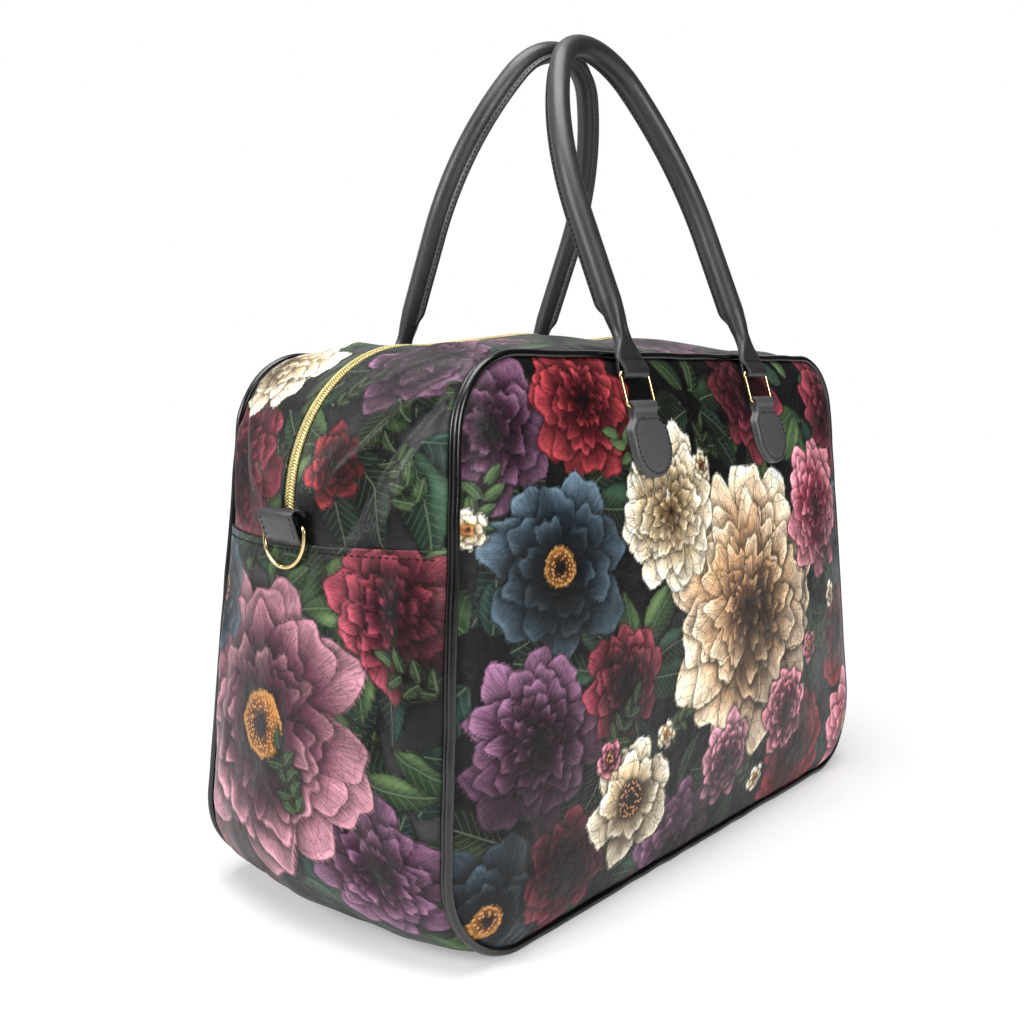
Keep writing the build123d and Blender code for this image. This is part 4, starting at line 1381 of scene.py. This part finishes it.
def d_ring_piece(where, left):
    """The D-ring of an end: a straight bar in the loop's tunnel and a round bow below it."""
    half = (D_RING_INSIDE + D_RING_WIRE) / 2
    corners = [(-half, -D_RING_DROP), (half, -D_RING_DROP), (half, 0), (-half, 0)]
    points = rounded_path(corners, [half - 0.01, half - 0.01, 3.0, 3.0], steps=12)
    bar = joint_point("right_d_ring_swing")
    bm = wire_loop(points, bar, np.array([0.0, 1.0, 0]), END_UP, END_OUT, D_RING_WIRE / 2)
    node = f"{where}_d_ring"
    finished(f"{node}_wire", bm, finish_of("wire"), node, (node,), left)


# Straps


def slab(width, thickness, edge=0.7, flats=3):
    """The section of a flat strap with rounded edges."""
    w, t = width / 2, thickness / 2
    edge = min(edge, 0.98 * t)
    corners = [(-w, -t), (w, -t), (w, t), (-w, t)]
    return rounded_path(corners, [edge] * 4, steps=flats)


def end_loop_piece(where, left):
    """A folded strap over the zip's end: hems sewn down above and below a tunnel."""
    rise = (ZIP_END_HEIGHT - LAP_HEIGHT) / 2
    centre_z = (ZIP_END_HEIGHT + LAP_HEIGHT) / 2
    end_x = BOTTOM_WIDTH / 2 + END_BULGE - (centre_z - CLOTH) * math.tan(END_LEAN)
    origin = np.array([end_x, 0, centre_z])
    # Out of the zip's end, over a fold at the top, and down into the lap's seam
    profile = np.array([
        (rise - 4.2, 0.4), (rise - 2.0, 1.6), (rise - 0.7, 3.6), (rise - 0.3, 6.0), (rise - 0.5, 8.2),
        (rise - 1.6, 9.6), (rise - 3.4, 9.9), (rise - 6.0, 9.1), (0.0, 7.6), (-rise + 6.0, 6.2),
        (-rise + 3.2, 4.9), (-rise + 1.4, 3.4), (-rise + 0.2, 1.9), (-rise - 1.6, 0.9),
    ])
    v, w = profile.T
    path = origin + v[:, None] * END_UP + w[:, None] * END_OUT
    across = np.broadcast_to(np.array([0.0, 1.0, 0]), path.shape)
    normal = np.cross(unit(np.gradient(path, axis=0)), across)
    normal *= np.sign(normal @ END_OUT)[:, None]
    bm = swept(path, across, normal, slab(LOOP_WIDTH, LOOP_PLY))
    seams = bmesh.new()
    for edge in (-1, 1):
        line = path[6:11] + np.array([0, edge * LOOP_STITCHING, 0]) + 0.85 * normal[6:11]
        stitched(seams, line, END_OUT, pitch=3.2, length=2.4, width=0.9, height=0.55, lift=0.0)
    node = f"{where}_end_loop"
    finished(f"{node}_strap", bm, finish_of("rolled"), "bag", (node,), left)
    finished(f"{node}_stitching", seams, finish_of("thread"), "bag", back=left)


CHAPE_WIDTH = 39.0
CHAPE_LENGTH = 43.0
CHAPE_HEIGHT = 4.7
STRAP_WIDTH = 25.0
STRAP_PLY = 2.3
BAR_TURN = RING_WIRE / 2 + 0.3 + 1.2


def strap(path):
    """A flat strap along a path, its width along X."""
    across = np.broadcast_to(np.array([1.0, 0, 0]), path.shape)
    normal = np.cross(unit(np.gradient(path, axis=0)), across)
    return swept(path, across, normal, slab(STRAP_WIDTH, STRAP_PLY))


def tongue_outline(grow, bar_v):
    """The chape's outline: a narrow neck, sloped shoulders and a round end."""
    half, neck = CHAPE_WIDTH / 2 + grow, STRAP_WIDTH / 2 + grow
    start = bar_v - 7.0
    turn = bar_v - CHAPE_LENGTH + CHAPE_WIDTH / 2
    angles = np.linspace(0, -math.pi, 29)
    bottom = np.stack([half * np.cos(angles), turn + half * np.sin(angles)], axis=-1)
    right = [
        (neck, bar_v + 1.0), (neck, start + 1.5), (neck + 0.6, start - 0.6),
        (half - 1.4, start - 5.0), (half - 0.2, start - 8.0),
    ]
    left = [(-x, y) for x, y in reversed(right)]
    return np.array([*right, *bottom, *left])


def chape_ply(bm, grow, bar_v, low, high):
    """One layer of a chape between two heights over the panel, with softened edges."""
    ply = bmesh.new()
    outline = tongue_outline(grow, bar_v)
    verts = [ply.verts.new((x, y, 0)) for x, y in outline]
    face = ply.faces.new(verts)
    face.normal_update()
    if face.normal.z < 0:
        face.normal_flip()
    thick = high - low
    # The cut edge, its rounding, then the groove that the stitches lie in
    steps = (
        (0.25, 0.6 * thick), (0.45, 0.3 * thick), (0.7, 0.1 * thick), (1.1, 0.0),
        (0.5, -0.22), (0.5, 0.0), (0.5, 0.22), (4.5, 0.0),
    )
    for inset, depth in steps:
        faces = [face for face in ply.faces if len(face.verts) > 4]
        bmesh.ops.inset_region(
            ply, faces=faces, thickness=inset, depth=depth, use_even_offset=True, use_boundary=True,
        )
    bmesh.ops.poke(ply, faces=[face for face in ply.faces if len(face.verts) > 4])
    bmesh.ops.recalc_face_normals(ply, faces=ply.faces)
    if sum(face.normal.z for face in ply.faces) < 0:
        bmesh.ops.reverse_faces(ply, faces=ply.faces)
    for vert in ply.verts:
        x, y, z = vert.co
        level = float(panel_level(np.array([x]), np.array([y]))[0])
        vert.co = Vector(front_point(x, y, level + low + z)) * MM
    joined(bm, ply)


def chape_piece(where, side, back=False):
    """A two-ply tongue sewn to the panel, whose neck goes round the ring's lower bar."""
    low = joint_point("front_rings_tilt")
    origin = front_point(0, 0, 0)
    up_panel = front_point(0, 1, 0) - origin
    out_panel = front_point(0, 0, 1) - origin
    bar_v = float((low - origin) @ up_panel)
    bar_w = float((low - origin) @ out_panel)
    bm = bmesh.new()
    chape_ply(bm, 0.35, bar_v, 0.0, STRAP_PLY)
    chape_ply(bm, 0.0, bar_v, STRAP_PLY, CHAPE_HEIGHT)
    # The neck's turn round the bar
    angles = np.linspace(-math.pi / 2 - 0.25, math.pi / 2 + 0.25, 15)
    v = bar_v + BAR_TURN * np.cos(angles)
    w = bar_w + BAR_TURN * np.sin(angles)
    surface = float(panel_level(np.array([0.0]), np.array([bar_v]))[0])
    v = np.concatenate([[bar_v - 6], v, [bar_v - 3.6, bar_v - 7.0, bar_v - 10]])
    w = np.concatenate([[surface + 1.4], w, [surface + 4.7, surface + 3.5, surface + 2.4]])
    joined(bm, strap(front_point(0 * v, v, w)))
    seams = bmesh.new()
    outline = tongue_outline(-2.6, bar_v)
    ring = outline[2:-2]
    neck_line = np.array([(ring[-1, 0], ring[0, 1]), (ring[0, 0], ring[0, 1])])
    for line in (ring, neck_line):
        level = panel_level(line[:, 0], line[:, 1]) + CHAPE_HEIGHT + 0.05
        stitched(
            seams, front_point(line[:, 0], line[:, 1], level), out_panel,
            pitch=3.3, length=2.45, width=1.0, height=0.6, lift=0.0,
        )
    shift = (side * RING_SPACING / 2 * MM, 0, 0)
    for made in (bm, seams):
        bmesh.ops.translate(made, verts=made.verts, vec=shift)
    node = f"{where}_chape"
    finished(f"{node}_tongue", bm, finish_of("leatherette"), "bag", (node,), back, 40)
    finished(f"{node}_stitching", seams, finish_of("thread"), "bag", back=back)


# Handles


HANDLE_RISE = 238.0
HANDLE_LEG = 104.0
HANDLE_TOP_RADIUS = 50.0
HANDLE_RADIUS = 7.2
SEAM_REACH = 4.0
CREST_DEPTH = 0.6 + HANDLE_RADIUS + SEAM_REACH
SEAM_START = 48.0
STRAP_STITCHING = 7.8

# A handle's end, up from the ring's bar: height, width, depth and squareness
FOOT = np.array([
    (6.0, 25.0, 4.9, 5.0),
    (9.0, 25.0, 4.9, 5.0),
    (13.0, 23.0, 5.6, 4.0),
    (18.0, 16.5, 7.4, 2.8),
    (23.0, 12.2, 9.6, 2.2),
    (28.0, 11.6, 10.6, 2.0),
    (36.0, 13.0, 12.8, 2.0),
    (46.0, 14.4, 14.4, 2.0),
    (60.0, 14.4, 14.4, 2.0),
])


def handle_line():
    """Points and outward normals of half a handle in its own plane, from its foot to its top."""
    half = RING_SPACING / 2
    drop = HANDLE_RISE - HANDLE_LEG - HANDLE_TOP_RADIUS
    radius = (half**2 + drop**2 - HANDLE_TOP_RADIUS**2) / (2 * (half - HANDLE_TOP_RADIUS))
    centre_x = half - radius
    turn = math.atan2(drop, radius - half)
    foot = np.concatenate([np.arange(6.0, 50.0, 2.0), np.linspace(50.0, HANDLE_LEG, 14)])
    leg = np.stack([half + 0 * foot, foot], axis=-1)
    leg_out = np.stack([1 + 0 * foot, 0 * foot], axis=-1)
    angles = np.linspace(0, turn, 40)[1:]
    side_out = np.stack([np.cos(angles), np.sin(angles)], axis=-1)
    side = np.array([centre_x, HANDLE_LEG]) + radius * side_out
    angles = np.linspace(turn, math.pi / 2, 22)[1:]
    top_out = np.stack([np.cos(angles), np.sin(angles)], axis=-1)
    top = np.array([0, HANDLE_RISE - HANDLE_TOP_RADIUS]) + HANDLE_TOP_RADIUS * top_out
    return np.concatenate([leg, side, top]), np.concatenate([leg_out, side_out, top_out])


def handle_section(height):
    """The roll's section at a height up its leg: round above, flat at the strap, with its seam."""
    width, depth, square = (float(np.interp(height, FOOT[:, 0], FOOT[:, k])) for k in (1, 2, 3))
    reach = SEAM_REACH * float(smooth(36, 50, height))
    open_angle = 0.2
    angles = np.linspace(-math.pi / 2 + open_angle, 1.5 * math.pi - open_angle, 31)
    c, s = np.cos(angles), np.sin(angles)
    power = 2 / square
    x = width / 2 * np.sign(c) * np.abs(c) ** power
    y = depth / 2 * np.sign(s) * np.abs(s) ** power
    pleat = 0.3 * math.exp(-(((height - 24) / 10) ** 2))
    y = np.where(y > 0, y * (1 - pleat * np.exp(-(((x - 1.2) / 1.5) ** 2))), y)
    low = float(y[0])
    half = abs(float(x[0])) * 0.9
    flange = np.array([
        (-half, low - 0.25 * reach), (-half * 0.95, low - 0.9 * reach), (-half * 0.6, low - reach - 0.1),
        (half * 0.6, low - reach - 0.1), (half * 0.95, low - 0.9 * reach), (half, low - 0.25 * reach),
    ])
    return np.concatenate([np.stack([x, y], axis=-1), flange])


def handle_pieces(where, body, back=False):
    """A rolled handle, its strap ends round the rings' bars, and its stitching."""
    foot = joint_point("front_handle_swing")
    lean = math.asin((-foot[1] - CREST_DEPTH) / HANDLE_RISE)
    up = np.array([0, math.sin(lean), math.cos(lean)])
    out = np.array([0, -math.cos(lean), math.sin(lean)])
    right = np.array([1.0, 0, 0])
    points, outward = handle_line()
    points = np.concatenate([points, (points * (-1, 1))[::-1][1:]])
    outward = np.concatenate([outward, (outward * (-1, 1))[::-1][1:]])
    path = foot + points[:, :1] * right + points[:, 1:] * up
    across = outward[:, :1] * right + outward[:, 1:] * up
    outs = np.broadcast_to(out, path.shape)
    sections = np.array([handle_section(min(height, FOOT[-1, 0])) for height in points[:, 1]])
    bm = swept(path, across, outs, sections)
    seams = bmesh.new()
    straight = points[:, 1] > SEAM_START
    for edge in (-1, 1):
        aside = across[straight] * edge
        line = path[straight] - outs[straight] * (HANDLE_RADIUS + 0.55 * SEAM_REACH) + aside * 1.35
        stitched(seams, line, aside, pitch=3.6, length=2.8, width=0.8, height=0.55, lift=0.05)
    for side in (-1, 1):
        # The strap's turn round the bar
        angles = np.linspace(0.15, -math.pi - 0.15, 15)
        y = np.concatenate([[7.0], BAR_TURN * np.sin(angles), [7.0]])
        w = np.concatenate([[1.25], BAR_TURN * np.cos(angles), [-1.25]])
        end = foot + side * RING_SPACING / 2 * right
        joined(bm, strap(end + y[:, None] * up + w[:, None] * out))
        for face in (-1, 1):
            middle = end + STRAP_STITCHING * up + face * 2.5 * out
            ends = np.stack([middle - 10.5 * right, middle + 10.5 * right])
            stitched(seams, ends, out * face, pitch=3.3, length=2.5, width=1.0, height=0.7)
    node = f"{where}_handle"
    finished(f"{node}_roll", bm, finish_of("rolled"), body, (node,), back, 50)
    finished(f"{node}_stitching", seams, finish_of("thread"), body, back=back)


# Stage


CAMERA_PLACE = (-661.8, -497.5, 319.0)
CAMERA_YAW, CAMERA_PITCH, CAMERA_ROLL = 50.03, 6.68, -0.196
CAMERA_FOCAL_PX = 1155.4
IMAGE_PX = 1024
SENSOR = 36.0
# Lamps: name, place and aim in metres, size in metres and watts
LAMPS = (
    ("overhead_softbox", (-0.3, -0.1, 1.8), (0, 0, 0.1), 1.4, 42),
    ("left_softbox", (-1.8, 0.7, 1.1), (0, 0, 0.25), 0.8, 27),
    ("front_softbox", (-0.7, -2.0, 1.0), (0, 0, 0.2), 0.8, 28),
)


def make_camera():
    """The photograph's camera: a little above the bag's left front corner."""
    yaw, pitch, roll = map(math.radians, (CAMERA_YAW, CAMERA_PITCH, CAMERA_ROLL))
    level = math.cos(pitch)
    forward = Vector((math.sin(yaw) * level, math.cos(yaw) * level, -math.sin(pitch)))
    right = Vector((math.cos(yaw), -math.sin(yaw), 0))
    up = right.cross(forward)
    c, s = math.cos(roll), math.sin(roll)
    right, up = right * c + up * s, up * c - right * s
    matrix = Matrix((right, up, -forward)).transposed().to_4x4()
    matrix.translation = Vector(CAMERA_PLACE) * MM
    data = bpy.data.cameras.new("camera")
    data.sensor_width = SENSOR
    data.lens = CAMERA_FOCAL_PX / IMAGE_PX * SENSOR
    camera = linked("camera", data)
    camera.matrix_world = matrix
    bpy.context.scene.camera = camera


def area_light(name, place_m, target_m, size, watts):
    """A soft lamp that faces a point."""
    data = bpy.data.lights.new(name, "AREA")
    data.size = size
    data.energy = watts
    lamp = linked(name, data)
    lamp.location = place_m
    lamp.rotation_euler = (Vector(target_m) - Vector(place_m)).to_track_quat("-Z", "Y").to_euler()


def make_world():
    """A dim room with a white backdrop behind the bag, plain white where the camera sees it."""
    world = bpy.data.worlds.new("white_surround")
    bpy.context.scene.world = world
    world.use_nodes = True
    tree = world.node_tree
    tree.nodes.clear()
    path = add(tree, "LightPath")
    seen = add(
        tree, "Math", {0: path.outputs["Is Camera Ray"], 1: path.outputs["Is Transmission Ray"]},
        operation="MAXIMUM",
    )
    way = add(tree, "TexCoord").outputs["Generated"]
    behind = add(tree, "SeparateXYZ", {0: way}).outputs["Y"]
    sheet = add(
        tree, "MapRange", {"Value": behind, 1: -0.1, 2: 0.5, 3: -0.08, 4: 0.55},
        interpolation_type="SMOOTHSTEP",
    )
    glossy = path.outputs["Is Glossy Ray"]
    sheet = add(tree, "Math", {0: sheet, 1: glossy, 2: 0.13}, operation="MULTIPLY_ADD")
    dim = add(tree, "Background", {"Color": (1, 1, 1, 1), "Strength": sheet})
    white = add(tree, "Background", {"Color": (1, 1, 1, 1), "Strength": 1.0})
    mixed = add(tree, "MixShader", {0: seen, 1: dim, 2: white})
    add(tree, "OutputWorld", {"Surface": mixed})


def make_floor():
    """A wide sheet of white paper under the bag."""
    bm = bmesh.new()
    bmesh.ops.create_grid(bm, x_segments=24, y_segments=24, size=3.0)
    mesh = mesh_of("floor", bm)
    mesh.materials.append(finish_of("paper"))
    linked("floor", mesh)


# Operators


class BagSizes(bpy.types.PropertyGroup):
    """Sizes that a user would change."""

    cloth_step: bpy.props.FloatProperty(
        name="Cloth step", description="Distance between points of the front panel's cloth",
        default=1.4 * MM, min=1.0 * MM, max=10 * MM, subtype="DISTANCE", unit="LENGTH",
    )
    coil_pitch: bpy.props.FloatProperty(
        name="Coil pitch", description="Distance between two turns of the zip's coil",
        default=1.75 * MM, min=1.0 * MM, max=3 * MM, subtype="DISTANCE", unit="LENGTH",
    )
    piping_wave: bpy.props.FloatProperty(
        name="Piping wave", description="How far the sewn piping wanders from its line",
        default=0.35 * MM, min=0.0, max=2 * MM, subtype="DISTANCE", unit="LENGTH",
    )
    lamp_strength: bpy.props.FloatProperty(
        name="Lamp strength", description="The studio lamps' power, as a share of the usual",
        default=1.0, min=0.0, max=4.0, subtype="FACTOR",
    )


def look(name, description, code):
    """A colour that a user may change."""
    return bpy.props.FloatVectorProperty(
        name=name, description=description, default=linear(code), subtype="COLOR",
    )


class BagLooks(bpy.types.PropertyGroup):
    """Colours that a user would change."""

    piping: look("Piping", "Colour of the smooth piping", "#060607")
    # Lighter than the rolled copy of the same leatherette: painted sheen.
    leatherette: look("Leatherette", "Colour of the chapes", "#434345")
    # Darker than the chapes' copy of the same leatherette: painted shade.
    rolled: look("Rolled leatherette", "Colour of the handles and end loops", "#252527")
    gold: look("Gold wire", "Colour of the rings, slider and pull", "#dcc691")
    coil: look("Zip coil", "Colour of the zip's metallised coil", "#cdc08a")
    tape: look("Zip tape", "Colour of the zip's woven tape", "#0a0a0b")
    thread: look("Thread", "Colour of the sewing thread", "#050505")
    paper: look("Paper", "Colour of the floor's paper", "#f4f4f4")


class MakeStage(bpy.types.Operator):
    """Sets the camera, the lights and the white floor."""

    bl_idname = "bag.make_stage"
    bl_label = "Stage"

    def execute(self, context):
        make_camera()
        make_world()
        make_floor()
        for *lamp, watts in LAMPS:
            area_light(*lamp, watts * context.scene.bag_sizes.lamp_strength)
        context.scene.view_settings.view_transform = "Standard"
        return {"FINISHED"}


class MakePanels(bpy.types.Operator):
    """Makes the stuffed printed panels at the front and back."""

    bl_idname = "bag.make_panels"
    bl_label = "Panels"

    def execute(self, context):
        step = context.scene.bag_sizes.cloth_step / MM
        panel_piece("front_panel_cloth", "front_panel", front_print, step)
        panel_piece("back_panel_cloth", "back_panel", back_print, 1.35 * step, back=True)
        return {"FINISHED"}


class MakeGussets(bpy.types.Operator):
    """Makes the printed band round the bag: the lower gusset and both upper strips."""

    bl_idname = "bag.make_gussets"
    bl_label = "Gussets"

    def execute(self, context):
        lower_gusset_piece(31)
        lap_stitching()
        upper_gusset_piece("front_upper_gusset_cloth", "front_upper_gusset", 41)
        upper_gusset_piece("back_upper_gusset_cloth", "back_upper_gusset", 51, back=True)
        return {"FINISHED"}


class MakePiping(bpy.types.Operator):
    """Makes the corded piping round each panel."""

    bl_idname = "bag.make_piping"
    bl_label = "Piping"

    def execute(self, context):
        piping_piece("front_piping_cords", "front_piping")
        piping_piece("back_piping_cords", "back_piping", back=True)
        return {"FINISHED"}


class MakeZip(bpy.types.Operator):
    """Makes the zip's coils and tapes, and finishes its slider and pull."""

    bl_idname = "bag.make_zip"
    bl_label = "Zip"

    def execute(self, context):
        coil_piece("front_zip_coil_turns", "front_zip_coil")
        coil_piece("back_zip_coil_turns", "back_zip_coil", back=True)
        tape_piece("front_zip_tape_weave", "front_zip_tape")
        tape_piece("back_zip_tape_weave", "back_zip_tape", back=True)
        for name in ("zip_slider", "zip_pull"):
            node = frame["nodes"][name]
            node.data.materials.clear()
            node.data.materials.append(finish_of("wire"))
        return {"FINISHED"}


class MakeRings(bpy.types.Operator):
    """Makes the handle rings and the D-rings of bent wire."""

    bl_idname = "bag.make_rings"
    bl_label = "Rings"

    def execute(self, context):
        for side, name, opposite in ((-1, "left", "right"), (1, "right", "left")):
            handle_ring_piece(f"front_{name}", side)
            handle_ring_piece(f"back_{opposite}", side, back=True)
        d_ring_piece("right", False)
        d_ring_piece("left", True)
        return {"FINISHED"}


class MakeStraps(bpy.types.Operator):
    """Makes the chapes and the end loops of black leatherette."""

    bl_idname = "bag.make_straps"
    bl_label = "Chapes and end loops"

    def execute(self, context):
        for side, name, opposite in ((-1, "left", "right"), (1, "right", "left")):
            chape_piece(f"front_{name}", side)
            chape_piece(f"back_{opposite}", side, back=True)
        end_loop_piece("right", False)
        end_loop_piece("left", True)
        return {"FINISHED"}


class MakeHandles(bpy.types.Operator):
    """Makes the two rolled handles and their stitching."""

    bl_idname = "bag.make_handles"
    bl_label = "Handles"

    def execute(self, context):
        handle_pieces("front", "front_handle")
        handle_pieces("back", "back_handle", back=True)
        return {"FINISHED"}


class BagPanel(bpy.types.Panel):
    """Lists the bag's pieces."""

    bl_idname = "VIEW3D_PT_travel_bag"
    bl_label = "Travel Bag"
    bl_space_type = "VIEW_3D"
    bl_region_type = "UI"
    bl_category = "Travel Bag"

    def draw(self, context):
        for name in ("cloth_step", "coil_pitch", "piping_wave", "lamp_strength"):
            self.layout.prop(context.scene.bag_sizes, name)
        for name in ("piping", "leatherette", "rolled", "gold", "coil", "tape", "thread", "paper"):
            self.layout.prop(context.scene.bag_looks, name)
        for operator in OPERATORS:
            self.layout.operator(operator.bl_idname)


OPERATORS = (MakeStage, MakePanels, MakeGussets, MakePiping, MakeZip, MakeRings, MakeStraps, MakeHandles)
CLASSES = (BagSizes, BagLooks, *OPERATORS, BagPanel)


def register():
    for cls in CLASSES:
        bpy.utils.register_class(cls)
    bpy.types.Scene.bag_sizes = bpy.props.PointerProperty(type=BagSizes)
    bpy.types.Scene.bag_looks = bpy.props.PointerProperty(type=BagLooks)


def unregister():
    del bpy.types.Scene.bag_looks
    del bpy.types.Scene.bag_sizes
    for cls in reversed(CLASSES):
        bpy.utils.unregister_class(cls)


def main():
    """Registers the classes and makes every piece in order."""
    register()
    for operator in OPERATORS:
        group, name = operator.bl_idname.split(".")
        getattr(getattr(bpy.ops, group), name)()
    bpy.context.view_layer.update()


if __name__ == "__main__":
    main()
